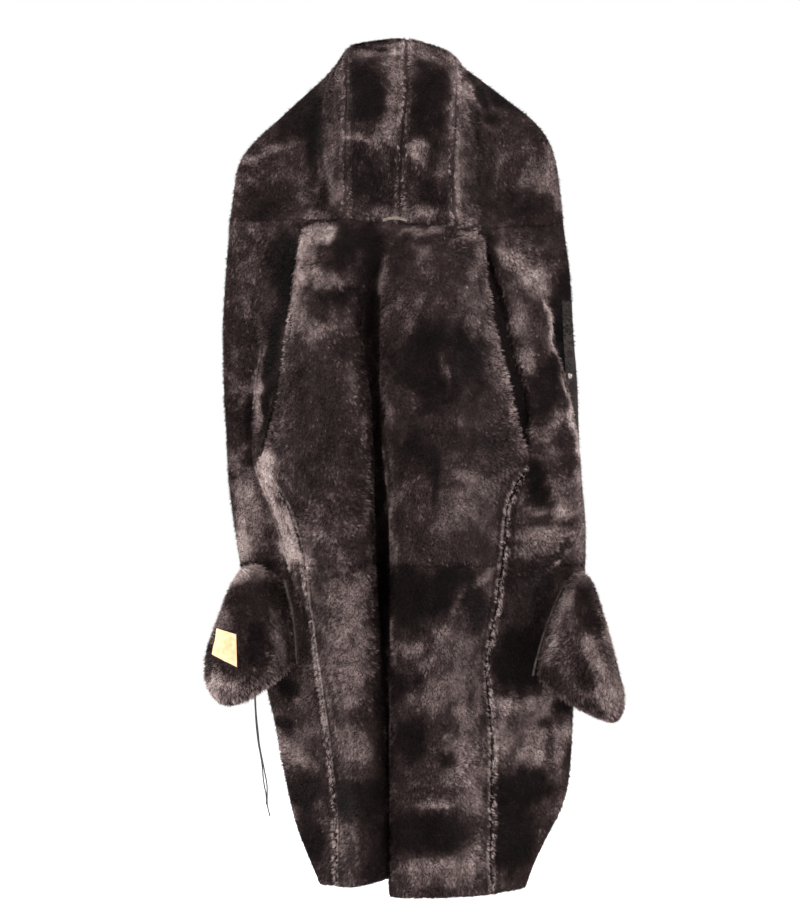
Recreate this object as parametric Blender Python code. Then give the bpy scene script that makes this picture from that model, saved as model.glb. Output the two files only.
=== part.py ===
"""Hooded shearling coat, turned so that the fur lining shows, hanging open from its hood.

Frame: metres, +Z up, X across the coat, -Y on the fur side of the back.  The origin is the point
under the crown of the hood where the coat is held.  Sizes below are millimetres: heights are
measured up from the hem, "_x" is the distance outwards from the centre line on that side of the
coat and "_y" the depth, with -Y nearest to whoever looks at the back's fur.
"""
import math

import bmesh
import bpy
import numpy as np
from mathutils import Vector
from mathutils.bvhtree import BVHTree

MM = 0.001
HOLD_HEIGHT = 1372.0        # where the crown is held, above the hem
HOLD_DEPTH = 28.0
WALL = 9.0                  # skin and sheared pile together
BAG_WALL = 7.0
SEAM = 0.3                  # gap between two pieces that are sewn together
HIP_SEAM = 530.0            # horizontal joining seam between the upper and lower skins
UNDERARM = 690.0
DEEP_FOLD = 70.0            # depth from which the sides of the back's fold stand straight
FOLD_TURN = 0.3             # share of the fold's depth in which its bottom turns up
FOLD_WALL = 0.62            # share of the depth at which the middle of its side stands
FOLD_SPREAD = 0.4           # how far a shallow fold's side leans out towards its lip
LEFT, RIGHT = -1.0, 1.0
SIDE_NAMES = {LEFT: "left", RIGHT: "right"}

BROWN_FUR = (0.060, 0.050, 0.048)
GREY_LEATHER = (0.022, 0.023, 0.024)
TAN_LEATHER = (0.60, 0.38, 0.22)
BLACK_CORD = (0.012, 0.012, 0.013)
NICKEL = (0.62, 0.61, 0.60)


def table(names, rows):
    """Turn a table with named columns into a dictionary of arrays."""
    data = np.array(rows, dtype=float)
    return {name: data[:, column] for column, name in enumerate(names.split())}


# The back's centre seam, at the bottom of the deep fold that the back hangs in.  Its x is signed.
CENTRE_SEAM = table("height x y", (
    (0, -25, 18), (110, -25, 20), (246, -26, 25), (343, -29, 28), (441, -32, 30), (530, -35, 30),
    (600, -38, 30), (690, -43, 30), (735, -46, 28), (781, -48, 24), (840, -50, 14), (900, -52, -2),
    (960, -48, -24), (1024, -32, -40), (1087, -9, -34),
))

# Half of the back: the side of the fold, its lip, the swell of the back and the armhole edge,
# which counts above the underarm; below it the back ends at the front's side seam.
BACK_NAMES = "height gap_x lip_x lip_y swell_y edge_x edge_y"
BACK = {
    LEFT: table(BACK_NAMES, (
        (0, 27, 42, -84, -92, 108, -20),
        (110, 27, 44, -86, -94, 108, -20),
        (246, 32, 50, -88, -97, 123, -22),
        (343, 37, 56, -90, -99, 136, -28),
        (441, 43, 62, -92, -100, 150, -32),
        (530, 49, 66, -94, -101, 160, -37),
        (600, 51, 68, -96, -102, 178, -40),
        (660, 53, 70, -96, -102, 206, -36),
        (690, 53, 72, -96, -102, 236, -14),
        (735, 55, 74, -95, -100, 219, -26),
        (781, 58, 78, -94, -98, 207, -30),
        (840, 64, 84, -90, -95, 198, -33),
        (900, 72, 92, -84, -90, 190, -34),
        (960, 68, 90, -76, -82, 183, -33),
        (1024, 46, 72, -62, -66, 175, -26),
        (1087, 24, 44, -38, -38, 164, -8),
    )),
    RIGHT: table(BACK_NAMES, (
        (0, -23, -8, -88, -94, 139, -20),
        (110, -23, -8, -92, -97, 137, -20),
        (246, -22, -7, -94, -100, 139, -24),
        (305, -22, -7, -95, -101, 134, -28),
        (380, -21, -7, -96, -102, 128, -32),
        (441, -21, -7, -98, -103, 143, -34),
        (530, -21, -7, -100, -104, 155, -37),
        (620, -24, -8, -100, -104, 163, -37),
        (660, -27, -12, -100, -103, 177, -32),
        (690, -32, -17, -100, -102, 198, -14),
        (747, -36, -21, -98, -100, 184, -24),
        (805, -38, -23, -96, -98, 170, -30),
        (854, -38, -23, -93, -95, 159, -32),
        (902, -38, -22, -88, -92, 147, -33),
        (960, -36, -17, -78, -84, 136, -32),
        (1010, -24, -2, -66, -70, 130, -27),
        (1087, 6, 26, -38, -38, 130, -4),
    )),
}

# A front, from its side seam or armhole edge round the rim where it turns away, back to the root
# of the wing, past the pocket mouth and out to the centre-front edge.
FRONT_NAMES = "height seam_h seam_x seam_y rim_x rim_y root_x root_y mouth_x mouth_y edge_x edge_y"
FRONT = {
    LEFT: table(FRONT_NAMES, (
        (0, 0, 108, -20, 114, -12, 120, -2, 128, 8, 137, 16),
        (110, 110, 108, -20, 124, -8, 140, 6, 158, 20, 177, 32),
        (246, 246, 123, -22, 140, -8, 158, 12, 182, 34, 206, 50),
        (343, 343, 136, -28, 148, -10, 162, 14, 184, 40, 228, 58),
        (441, 441, 150, -32, 158, -8, 166, 34, 194, 56, 252, 72),
        (505, 505, 158, -36, 178, -8, 176, 48, 211, 64, 262, 78),
        (530, 530, 160, -37, 188, -6, 180, 54, 222, 68, 267, 80),
        (600, 600, 178, -40, 211, 0, 192, 64, 234, 76, 279, 86),
        (660, 660, 206, -36, 232, 4, 206, 72, 244, 82, 286, 90),
        (690, 690, 236, -14, 243, 10, 212, 76, 250, 84, 288, 91),
        (735, 735, 229, -4, 247, 22, 216, 80, 253, 86, 291, 92),
        (781, 781, 220, 8, 248, 32, 222, 82, 256, 88, 293, 93),
        (840, 840, 207, 20, 240, 42, 228, 80, 258, 88, 295, 93),
        (900, 900, 195, 26, 223, 50, 238, 74, 264, 86, 296, 92),
        (960, 960, 187, 34, 214, 50, 240, 68, 266, 80, 294, 89),
        (1024, 1024, 176, 26, 206, 46, 234, 62, 262, 74, 290, 84),
        (1062, 1073, 164, 2, 196, 34, 226, 54, 256, 68, 287, 79),
        (1075, 1081, 141, -10, 178, 24, 214, 46, 250, 64, 286, 77),
        (1089, 1088, 118, -22, 160, 14, 205, 40, 246, 60, 285, 75),
    )),
    RIGHT: table(FRONT_NAMES, (
        (0, 0, 139, -20, 150, -14, 164, -4, 180, 6, 196, 14),
        (62, 62, 137, -20, 152, -12, 172, 2, 194, 12, 217, 22),
        (110, 110, 137, -20, 156, -12, 180, 4, 210, 18, 242, 32),
        (160, 160, 137, -21, 158, -12, 184, 8, 220, 28, 264, 44),
        (246, 246, 139, -24, 164, -12, 190, 12, 226, 36, 271, 54),
        (305, 305, 134, -28, 160, -14, 188, 12, 228, 40, 273, 60),
        (350, 350, 129, -30, 156, -16, 184, 12, 220, 40, 277, 64),
        (380, 380, 128, -32, 158, -16, 188, 14, 227, 42, 280, 66),
        (441, 441, 143, -34, 172, -18, 204, 14, 245, 44, 288, 68),
        (505, 505, 151, -36, 192, -20, 232, 16, 272, 48, 293, 70),
        (530, 530, 155, -37, 236, -16, 246, 24, 276, 54, 294, 72),
        (575, 575, 158, -38, 284, 0, 262, 46, 280, 64, 295, 76),
        (620, 620, 163, -37, 289, 6, 262, 54, 279, 68, 292, 80),
        (660, 660, 177, -32, 289, 10, 262, 58, 276, 72, 287, 82),
        (690, 690, 198, -14, 287, 14, 261, 60, 273, 74, 285, 84),
        (747, 747, 208, 6, 281, 20, 256, 64, 267, 75, 282, 87),
        (805, 805, 203, 14, 268, 20, 248, 64, 260, 75, 281, 87),
        (854, 854, 190, 22, 254, 28, 242, 64, 255, 75, 278, 87),
        (902, 902, 176, 26, 240, 38, 238, 63, 252, 74, 274, 86),
        (960, 960, 164, 26, 222, 46, 234, 62, 250, 73, 271, 84),
        (1000, 1000, 152, 20, 212, 46, 228, 62, 250, 72, 269, 81),
        (1040, 1054, 130, 2, 180, 32, 212, 52, 240, 66, 264, 78),
        (1062, 1063, 118, -10, 164, 24, 200, 48, 232, 64, 261, 76),
        (1084, 1072, 105, -22, 150, 16, 190, 44, 226, 62, 258, 75),
    )),
}

# A half of the hood in steps from the neck seam (0) up the back of the head, over the crown and
# down to the front edge (9): centre seam, seam to the side skin, rim, root and front edge.
HOOD_NAMES = ("step centre_h centre_y swell_y seam_x seam_h seam_y rim_x rim_h rim_y "
              "root_x root_h root_y edge_x edge_h edge_y")
HOOD = {
    LEFT: table(HOOD_NAMES, (
        (0, 1082, -34, -38, 97, 1085, -32, 118, 1088, -22, 160, 1089, 14, 285, 1089, 75),
        (1, 1125, -46, -48, 96, 1121, -40, 128, 1123, -10, 148, 1123, 30, 279, 1123, 74),
        (2, 1175, -57, -60, 95, 1172, -48, 133, 1172, -8, 146, 1172, 32, 273, 1172, 72),
        (3, 1215, -62, -66, 94, 1210, -52, 135, 1208, -5, 143, 1208, 34, 257, 1206, 70),
        (4, 1260, -62, -66, 94, 1252, -52, 130, 1248, -4, 136, 1246, 34, 218, 1243, 68),
        (5, 1305, -54, -58, 94, 1296, -44, 127, 1290, -2, 130, 1286, 32, 172, 1284, 66),
        (6, 1345, -36, -38, 93, 1336, -26, 116, 1326, 4, 118, 1320, 32, 130, 1322, 64),
        (7, 1372, -8, -10, 91, 1360, -2, 104, 1347, 16, 109, 1339, 38, 115, 1338, 62),
        (8, 1383, 28, 28, 88, 1371, 28, 95, 1360, 40, 100, 1351, 51, 104, 1345, 62),
        (9, 1376, 62, 60, 84, 1366, 58, 89, 1360, 61, 93, 1354, 64, 97, 1349, 67),
    )),
    RIGHT: table(HOOD_NAMES, (
        (0, 1082, -34, -38, 79, 1076, -32, 105, 1072, -22, 150, 1076, 16, 258, 1084, 75),
        (1, 1125, -46, -48, 78, 1121, -40, 113, 1119, -8, 142, 1120, 30, 254, 1122, 74),
        (2, 1175, -57, -60, 76, 1172, -48, 115, 1170, -7, 132, 1170, 34, 249, 1166, 72),
        (3, 1215, -62, -66, 78, 1210, -52, 115, 1206, -5, 127, 1206, 34, 241, 1202, 70),
        (4, 1260, -62, -66, 80, 1252, -52, 114, 1246, -4, 124, 1244, 34, 220, 1240, 68),
        (5, 1305, -54, -58, 82, 1294, -42, 108, 1286, 0, 118, 1282, 32, 172, 1280, 66),
        (6, 1345, -36, -38, 83, 1328, -26, 99, 1318, 6, 106, 1313, 34, 126, 1316, 64),
        (7, 1372, -8, -10, 80, 1350, -2, 91, 1339, 16, 96, 1331, 38, 104, 1332, 62),
        (8, 1383, 28, 28, 76, 1360, 28, 83, 1350, 40, 88, 1342, 51, 92, 1338, 62),
        (9, 1376, 62, 60, 72, 1356, 58, 77, 1350, 61, 81, 1345, 64, 85, 1341, 67),
    )),
}
HOOD_CENTRE_X = table("step x", ((0, -9), (3, -4), (6, 3), (9, 3)))

# The neck seam, and the shoulder seams that run on from it, as heights along the coat's width.
NECK_SEAM = table("x height", ((-300, 1089), (-118, 1088), (-9, 1082), (79, 1076), (105, 1072), (270, 1085)))
SHOULDER = {LEFT: ((118, 1088), (164, 1073)), RIGHT: ((105, 1072), (130, 1056))}
SHOULDER_EASE = 1.3         # the fronts' shoulder edges stand this far above the back's
SHOULDER_ROWS = (1046, 1087)
HEM_LIFT = {LEFT: (37.0, 14.0, 13.0), RIGHT: (0.0, 0.0, 10.0)}      # centre, side seam, front edge
HEM_LIFT_REACH = 220.0

# Rings of a sleeve as it hangs on the leather side: its upper and its underarm edge.
SLEEVE_NAMES = "top_x top_h under_x under_h centre_y half"
SLEEVE = {
    LEFT: table(SLEEVE_NAMES, (
        (142, 1000, 220, 694, -2, 23), (112, 915, 204, 672, -12, 33), (90, 820, 188, 640, -16, 37),
        (76, 730, 170, 596, -18, 38), (70, 640, 155, 552, -20, 38), (68, 556, 143, 500, -22, 38),
        (68, 475, 134, 448, -22, 38), (70, 398, 128, 390, -22, 36),
    )),
    RIGHT: table(SLEEVE_NAMES, (
        (110, 975, 184, 694, 2, 20), (86, 900, 166, 666, -6, 28), (62, 815, 156, 636, -14, 35),
        (46, 725, 146, 596, -17, 38), (38, 640, 136, 552, -20, 38), (34, 556, 126, 500, -22, 38),
        (32, 475, 117, 448, -22, 38), (34, 398, 110, 390, -22, 36),
    )),
}
SLEEVE_SPOKES = 20
SLEEVE_WALL = 8.0
ARMHOLE_GAP = {LEFT: 1.7, RIGHT: 2.0}   # the sleeve's first ring stands this far off the leather
RING_FLATNESS = 0.8         # below 1 a flattened ring keeps fuller ends than an ellipse
LEAST_REACH = 4.0           # a ring point is drawn in by at most one part in this of its reach

# Cross-sections of a pocket bag from its mouth outwards: upper and lower edge, half its
# thickness and the turn of the section from lying on the front to facing outwards.
BAG_NAMES = "top_x top_h top_y low_x low_h low_y half turn"
BAG = {
    LEFT: table(BAG_NAMES, (
        (214, 514, 60, 184, 362, 38, 14, 24), (232, 528, 40, 196, 350, 26, 19, 58),
        (256, 531, 24, 216, 340, 16, 28, 88), (277, 512, 16, 246, 316, 13, 33, 90),
        (293, 470, 13, 278, 302, 13, 32, 90), (307, 432, 15, 304, 308, 15, 26, 90),
        (318, 402, 18, 318, 328, 18, 16, 90), (324, 378, 20, 324, 350, 20, 5, 90),
    )),
    RIGHT: table(BAG_NAMES, (
        (275, 514, 43, 218, 342, 33, 14, 42), (287, 518, 22, 230, 330, 18, 19, 64),
        (303, 512, 8, 254, 314, 6, 28, 90), (315, 470, 2, 288, 296, 2, 33, 90),
        (329, 420, 1, 318, 282, 1, 31, 90), (341, 375, 3, 338, 275, 3, 25, 90),
        (349, 342, 6, 349, 288, 6, 15, 90), (353, 320, 8, 353, 304, 8, 5, 90),
    )),
}
BAG_SPOKES = 16
LEAST_BAG_HALF = 2.0
MOUTH_HALF = 6.0            # half the width of the pocket mouth in the front
MOUTH_LOW = {LEFT: 370.0, RIGHT: 350.0}
MOUTH_HIGH = 505.0

BAG_LIFT = 0.75            # the bag's mouth stands this far off the front it is sewn to
EDGING_REACH = (8.6, 12.6)  # a pocket edge's borders, from the mouth's inner lip
EDGING_THICKNESS = 1.6
EDGING_LIFT = 0.9
BAND_LOW, BAND_HIGH = 690.0, 960.0
BAND_THICKNESS = 1.5
LABEL_CORNERS = ((-272, 419), (-302, 428), (-310, 386), (-271, 366))    # x and height
LABEL_CELLS = 7
LABEL_LIFT = 1.3
LABEL_THICKNESS = 1.4
SNAP_AT = (268.0, 837.0)
EYELET_AT = (-238.0, 470.0)
DISC_SPOKES = 16
SNAP_PROFILE = ((4.6, 0.3), (4.6, 1.3), (3.4, 2.4), (1.8, 2.8))         # radius and height
EYELET_PROFILE = ((6.5, 0.3), (6.5, 1.2), (5.4, 1.9))
EYELET_BORE = 3.6
LOOP_X = (-36.0, 3.0)
LOOP_HEIGHT = 1086.0
LOOP_RISE = 4.0
LOOP_STAND = 3.0
LOOP_LIFT = 1.0
LOOP_WIDTH = 5.0
LOOP_THICKNESS = 1.6
LOOP_CELLS = 9
CORD_DIAMETER = 2.2
CORD_APART = 1.4            # each cord's centre from the eyelet's, and how it first comes out
CORD_OUT = (0.8, 5.0, 10.0)
CORD_DROP = (-0.6, 0.0, -5.0)
CORD_POINTS = 3             # points to each section of a cord's route
LONG_CORD = ((-240, 92, 452), (-243, 92, 425), (-244.6, 91, 390), (-245, 90, 350), (-244, 90, 315),
             (-242, 90, 281), (-239.5, 90, 258), (-237.5, 90, 238), (-234.5, 90, 221), (-231, 90, 204),
             (-228, 90, 188), (-225.7, 90, 176), (-224.6, 91, 165), (-224.6, 91, 153), (-224.4, 91, 139),
             (-223, 91, 131), (-219.8, 90, 119))
SHORT_CORD = ((-243, 93, 452), (-245.4, 94, 425), (-246.6, 94, 390), (-246.6, 94, 350), (-245, 94, 315),
              (-243.4, 93.5, 281), (-241.4, 93, 258), (-239, 93, 238), (-235.8, 93, 221), (-233, 93, 204),
              (-231.6, 93, 188), (-230.8, 93, 180), (-229.2, 93.5, 168), (-226.8, 94, 157), (-226, 94, 148),
              (-225.8, 94, 138))

BODY_ROWS = (0, 40, 80, 110, 160, 205, 246, 300, 350, 370, 415, 460, 505, 530)
UPPER_ROWS = (530, 565, 600, 630, 660, 690, 712, 735, 781, 810, 840, 870, 900, 930, 960, 992, 1024)
HOOD_STEPS = 17
HOOD_COUNTS = (3, 3, 3, 2, 4)
HOOD_SEAM_COLUMN = sum(HOOD_COUNTS[:2])
HOOD_SWELL_RISE = 3.0
BACK_HEIGHTS = sorted({*BODY_ROWS, *UPPER_ROWS, *SHOULDER_ROWS})
BACK_COUNTS = (2, 2, 2, 3, 3)
FRONT_COUNTS = (2, 3, 2, 1, 3)
MOUTH_COLUMN = sum(FRONT_COUNTS[:3])
SHARP_ANGLE = math.radians(50)


def smooth(keys, values, at):
    """Read a column between its rows with a cubic that never overshoots them."""
    spans = np.diff(keys)
    rises = np.diff(values) / spans
    slopes = np.concatenate(([rises[0]], np.zeros(len(values) - 2), [rises[-1]]))
    same = rises[:-1] * rises[1:] > 0
    harmonic = 2 * rises[:-1] * rises[1:] / np.where(same, rises[:-1] + rises[1:], 1.0)
    slopes[1:-1] = np.where(same, harmonic, 0.0)
    place = np.clip(np.searchsorted(keys, at, side="right") - 1, 0, len(spans) - 1)
    span = spans[place]
    part = (at - keys[place]) / span
    rest = 1 - part
    return ((1 + 2 * part) * rest ** 2 * values[place] + part * rest ** 2 * span * slopes[place]
            + part ** 2 * (3 - 2 * part) * values[place + 1] - part ** 2 * rest * span * slopes[place + 1])


def read_row(source, key, at):
    """Read every column of a table at one value of its key column."""
    return {name: float(smooth(source[key], source[name], at)) for name in source}


def unit(vectors):
    """Scale vectors along the last axis to length one."""
    return vectors / np.maximum(np.linalg.norm(vectors, axis=-1, keepdims=True), 1e-9)


def thread(stations, counts, before=None, after=None):
    """Run a smooth curve through stations and return its points and unit tangents."""
    chain = [before] * (before is not None) + list(stations) + [after] * (after is not None)
    chain = np.array(chain, dtype=float)
    first = 1 if before is not None else 0
    knots = np.concatenate(([0.0], np.cumsum(np.sqrt(np.linalg.norm(np.diff(chain, axis=0), axis=1)))))
    slopes = np.gradient(chain, knots, axis=0)
    points, tangents = [], []
    for piece, count in enumerate(counts):
        low, high = first + piece, first + piece + 1
        span = knots[high] - knots[low]
        last = piece == len(counts) - 1
        for part in np.linspace(0.0, 1.0, count + 1)[: None if last else -1]:
            points.append((1 + 2 * part) * (1 - part) ** 2 * chain[low]
                          + part * (1 - part) ** 2 * span * slopes[low]
                          + part ** 2 * (3 - 2 * part) * chain[high]
                          + part ** 2 * (part - 1) * span * slopes[high])
            tangents.append(6 * part * (part - 1) * (chain[low] - chain[high]) / span
                            + (1 - part) * (1 - 3 * part) * slopes[low] + part * (3 * part - 2) * slopes[high])
    return np.array(points), unit(np.array(tangents))


def leather_side(points, tangents, side, joint=None):
    """Offset a grid of fur points through the wall; rows up to the joint row turn as one."""
    upward = unit(np.gradient(points, axis=0))
    if joint:
        upward[joint] = unit(points[joint] - points[joint - 1])
    away = unit(np.cross(tangents, upward)) * -side
    return points + away * WALL, away


def place(points):
    """Turn millimetres above the hem into metres from the held point."""
    return (np.asarray(points) - (0.0, HOLD_DEPTH, HOLD_HEIGHT)) * MM


def material(name, colour, roughness, metallic=0.0):
    """Make or fetch a plain Principled material."""
    found = bpy.data.materials.get(name)
    if found:
        return found
    made = bpy.data.materials.new(name)
    made.use_nodes = True
    shader = made.node_tree.nodes["Principled BSDF"]
    shader.inputs["Base Color"].default_value = (*colour, 1.0)
    shader.inputs["Roughness"].default_value = roughness
    shader.inputs["Metallic"].default_value = metallic
    made.diffuse_color = (*colour, 1.0)
    return made


def add_object(name, points, faces, finish):
    """Make one closed object from points in millimetres."""
    mesh = bpy.data.meshes.new(name)
    mesh.from_pydata([tuple(point) for point in place(points)], [], faces)
    body = bmesh.new()
    body.from_mesh(mesh)
    bmesh.ops.recalc_face_normals(body, faces=body.faces)
    body.to_mesh(mesh)
    body.free()
    mesh.shade_smooth()
    mesh.set_sharp_from_angle(angle=SHARP_ANGLE)
    mesh.materials.append(finish)
    made = bpy.data.objects.new(name, mesh)
    bpy.context.collection.objects.link(made)
    return made


def pull_in(grid, gap=SEAM / 2):
    """Draw the four borders of a grid in by half a seam gap."""
    grid = grid.copy()
    grid[:, 0] += unit(grid[:, 1] - grid[:, 0]) * gap
    grid[:, -1] += unit(grid[:, -2] - grid[:, -1]) * gap
    grid[0] += unit(grid[1] - grid[0]) * gap
    grid[-1] += unit(grid[-2] - grid[-1]) * gap
    return grid


def add_wall(name, fur, leather, finish, holes=()):
    """Close two matching grids into a wall; holes are the cells left open right through."""
    fur, leather = pull_in(fur), pull_in(leather)
    rows, columns = fur.shape[:2]
    points = np.concatenate((fur.reshape(-1, 3), leather.reshape(-1, 3)))
    behind = rows * columns
    cells = {(row, column) for row in range(rows - 1) for column in range(columns - 1)} - set(holes)
    faces = []
    for row, column in sorted(cells):
        at = row * columns + column
        faces.append((at, at + 1, at + columns + 1, at + columns))
        faces.append(tuple(behind + corner for corner in (at, at + columns, at + columns + 1, at + 1)))
        borders = (((row - 1, column), at, at + 1), ((row + 1, column), at + columns, at + columns + 1),
                   ((row, column - 1), at, at + columns), ((row, column + 1), at + 1, at + columns + 1))
        faces += [(start, end, behind + end, behind + start)
                  for neighbour, start, end in borders if neighbour not in cells]
    used = sorted({corner for face in faces for corner in face})
    renumber = {old: new for new, old in enumerate(used)}
    return add_object(name, points[used], [[renumber[corner] for corner in face] for face in faces], finish)


def add_tube(name, outer, inner, finish):
    """Close matching outer and inner rings into a hollow tube, open at both ends."""
    spokes = outer.shape[1]
    points = np.concatenate((outer.reshape(-1, 3), inner.reshape(-1, 3)))
    inside = outer.shape[0] * spokes
    faces = []
    for start, rings in ((0, outer.shape[0]), (inside, inner.shape[0])):
        for ring in range(rings - 1):
            for spoke in range(spokes):
                low, high = start + ring * spokes, start + (ring + 1) * spokes
                following = (spoke + 1) % spokes
                faces.append((low + spoke, low + following, high + following, high + spoke))
    last_outer, last_inner = (outer.shape[0] - 1) * spokes, inside + (inner.shape[0] - 1) * spokes
    for outside, within in ((0, inside), (last_outer, last_inner)):
        for spoke in range(spokes):
            following = (spoke + 1) % spokes
            faces.append((outside + spoke, outside + following, within + following, within + spoke))
    return add_object(name, points, faces, finish)


def neck_height(x):
    """Height of the neck seam at a place along the coat's width."""
    return np.interp(x, NECK_SEAM["x"], NECK_SEAM["height"])


def back_top(x, side):
    """Height of the back's upper edge: the neck seam, then the shoulder seam beyond it."""
    (neck_x, neck_h), (point_x, point_h) = SHOULDER[side]
    sloping = neck_h + (x * side - neck_x) * (point_h - neck_h) / (point_x - neck_x)
    return np.where(x * side > neck_x, sloping, neck_height(x))


def back_stations(side, height):
    """Stations of the back at one height, from the centre seam to its outer edge."""
    row = read_row(BACK[side], "height", height)
    seam = read_row(CENTRE_SEAM, "height", height)
    front = read_row(FRONT[side], "height", height)
    edge_x, edge_y = row["edge_x"], row["edge_y"]
    if height <= UNDERARM:
        edge_x, edge_y = front["seam_x"], front["seam_y"]
    depth = seam["y"] - row["lip_y"]
    steep = min(depth / DEEP_FOLD, 1.0)
    gap_x = row["gap_x"] * side
    heel_x = seam["x"] + (gap_x - seam["x"]) * (0.5 + 0.5 * steep)
    wall_x = gap_x + (row["lip_x"] * side - gap_x) * FOLD_SPREAD * (1 - steep)
    turn = min(abs(gap_x - seam["x"]), FOLD_TURN * depth)
    swell_x = (row["lip_x"] + edge_x) / 2
    return [(seam["x"], seam["y"], height),
            (heel_x, seam["y"] - turn, height),
            (wall_x, seam["y"] - FOLD_WALL * depth, height),
            (row["lip_x"] * side, row["lip_y"], height),
            (swell_x * side, row["swell_y"], height),
            (edge_x * side, edge_y, height)]


def front_stations(side, height):
    """Stations of a front at one height, from its side seam to the centre-front edge."""
    row = read_row(FRONT[side], "height", height)
    spots = [("seam", 0.0), ("rim", 0.25), ("root", 0.5), ("mouth", 0.75), ("edge", 1.0)]
    stations = [(row[name + "_x"] * side, row[name + "_y"], row["seam_h"] + part * (height - row["seam_h"]))
                for name, part in spots]
    mouth = np.array(stations[3])
    along = unit(np.array(stations[4]) - np.array(stations[2])) * MOUTH_HALF
    return stations[:3] + [tuple(mouth - along), tuple(mouth + along), stations[4]]


def lift_hem(points, side, first, last):
    """Raise the lowest rows where the hem hangs higher, shading off up the coat."""
    share = np.linspace(0.0, 1.0, points.shape[1])
    lift = HEM_LIFT[side][first] * (1 - share) + HEM_LIFT[side][last] * share
    fade = np.clip(1 - points[:, :1, 2] / HEM_LIFT_REACH, 0.0, 1.0)
    points[:, :, 2] += lift * fade ** 2
    return points


def back_grid(side):
    """Fur and leather points of half the back, row by row from the hem to the neck seam."""
    points, tangents = [], []
    for height in BACK_HEIGHTS:
        here = back_stations(side, height)
        other = back_stations(-side, height)[1]
        row = thread(here, BACK_COUNTS, before=other, after=front_stations(side, height)[1])
        points.append(row[0])
        tangents.append(row[1])
    fur = lift_hem(np.array(points), side, 0, 1)
    leather, _ = leather_side(fur, np.array(tangents), side, BACK_HEIGHTS.index(UNDERARM))
    for grid in (fur, leather):
        grid[-1, :, 2] = back_top(grid[-1, :, 0], side)
    return fur, leather


def front_grid(side):
    """Fur and leather points of a front, and the direction through it, from hem to neck seam."""
    heights = sorted({*BODY_ROWS, *UPPER_ROWS, *FRONT[side]["height"][-3:]})
    points, tangents = [], []
    for height in heights:
        row = thread(front_stations(side, height), FRONT_COUNTS, before=back_stations(side, height)[4])
        points.append(row[0])
        tangents.append(row[1])
    fur = lift_hem(np.array(points), side, 1, 2)
    leather, away = leather_side(fur, np.array(tangents), side, heights.index(UNDERARM))
    for grid in (fur, leather):
        grid[-3:, 0, 2] = back_top(grid[-3:, 0, 0], side) + SHOULDER_EASE
        grid[-1, :, 2] = neck_height(grid[-1, :, 0])
    return fur, leather, away, heights


def hood_grid(side):
    """Fur and leather points of half the hood, from the neck over the crown to its front edge."""
    points, tangents = [], []
    for step in np.linspace(0.0, 9.0, HOOD_STEPS):
        centre_x = float(smooth(HOOD_CENTRE_X["step"], HOOD_CENTRE_X["x"], step))
        rows = {way: read_row(HOOD[way], "step", step) for way in (side, -side)}
        row = rows[side]

        def swell(way):
            """The fullest point between the centre seam and a side's seam."""
            half = rows[way]
            height = (row["centre_h"] + half["seam_h"]) / 2 + HOOD_SWELL_RISE
            return ((centre_x + half["seam_x"] * way) / 2, half["swell_y"], height)

        stations = [(centre_x, row["centre_y"], row["centre_h"]), swell(side)]
        stations += [(row[spot + "_x"] * side, row[spot + "_y"], row[spot + "_h"])
                     for spot in ("seam", "rim", "root", "edge")]
        line, tangent = thread(stations, HOOD_COUNTS, before=swell(-side))
        points.append(line)
        tangents.append(tangent)
    fur = np.array(points)
    leather, _ = leather_side(fur, np.array(tangents), side)
    for grid in (fur, leather):
        grid[0, :, 2] = neck_height(grid[0, :, 0])
    return fur, leather


def make_hood(fur_finish):
    """The hood's centre and side skins."""
    for side, word in SIDE_NAMES.items():
        fur, leather = hood_grid(side)
        seam = HOOD_SEAM_COLUMN
        add_wall(f"hood_centre_{word}", fur[:, :seam + 1], leather[:, :seam + 1], fur_finish)
        add_wall(f"hood_side_{word}", fur[:, seam:], leather[:, seam:], fur_finish)


def make_backs(fur_finish):
    """The back's upper and lower skins, on both sides of the centre seam."""
    grids = {}
    for side, word in SIDE_NAMES.items():
        fur, leather = back_grid(side)
        hip = BODY_ROWS.index(HIP_SEAM)
        add_wall(f"back_lower_{word}", fur[:hip + 1], leather[:hip + 1], fur_finish)
        add_wall(f"back_upper_{word}", fur[hip:], leather[hip:], fur_finish)
        grids[side] = (fur, leather)
    return grids


def make_fronts(fur_finish):
    """The fronts' upper and lower skins, with the pocket mouths cut through the lower ones."""
    grids = {}
    for side, word in SIDE_NAMES.items():
        fur, leather, away, heights = front_grid(side)
        hip = heights.index(HIP_SEAM)
        mouth = [(row, MOUTH_COLUMN) for row in range(hip)
                 if heights[row] >= MOUTH_LOW[side] and heights[row + 1] <= MOUTH_HIGH]
        add_wall(f"front_lower_{word}", fur[:hip + 1], leather[:hip + 1], fur_finish, mouth)
        add_wall(f"front_upper_{word}", fur[hip:], leather[hip:], fur_finish)
        grids[side] = (fur, leather, away, heights)
    return grids


def ring_profile(spokes):
    """Places round a flattened ring: along it from 0 to 1, and across it from -1 to 1."""
    turns = np.arange(spokes) * 2 * math.pi / spokes
    across = np.sin(turns)
    return (1 - np.cos(turns)) / 2, np.sign(across) * np.abs(across) ** RING_FLATNESS


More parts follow.
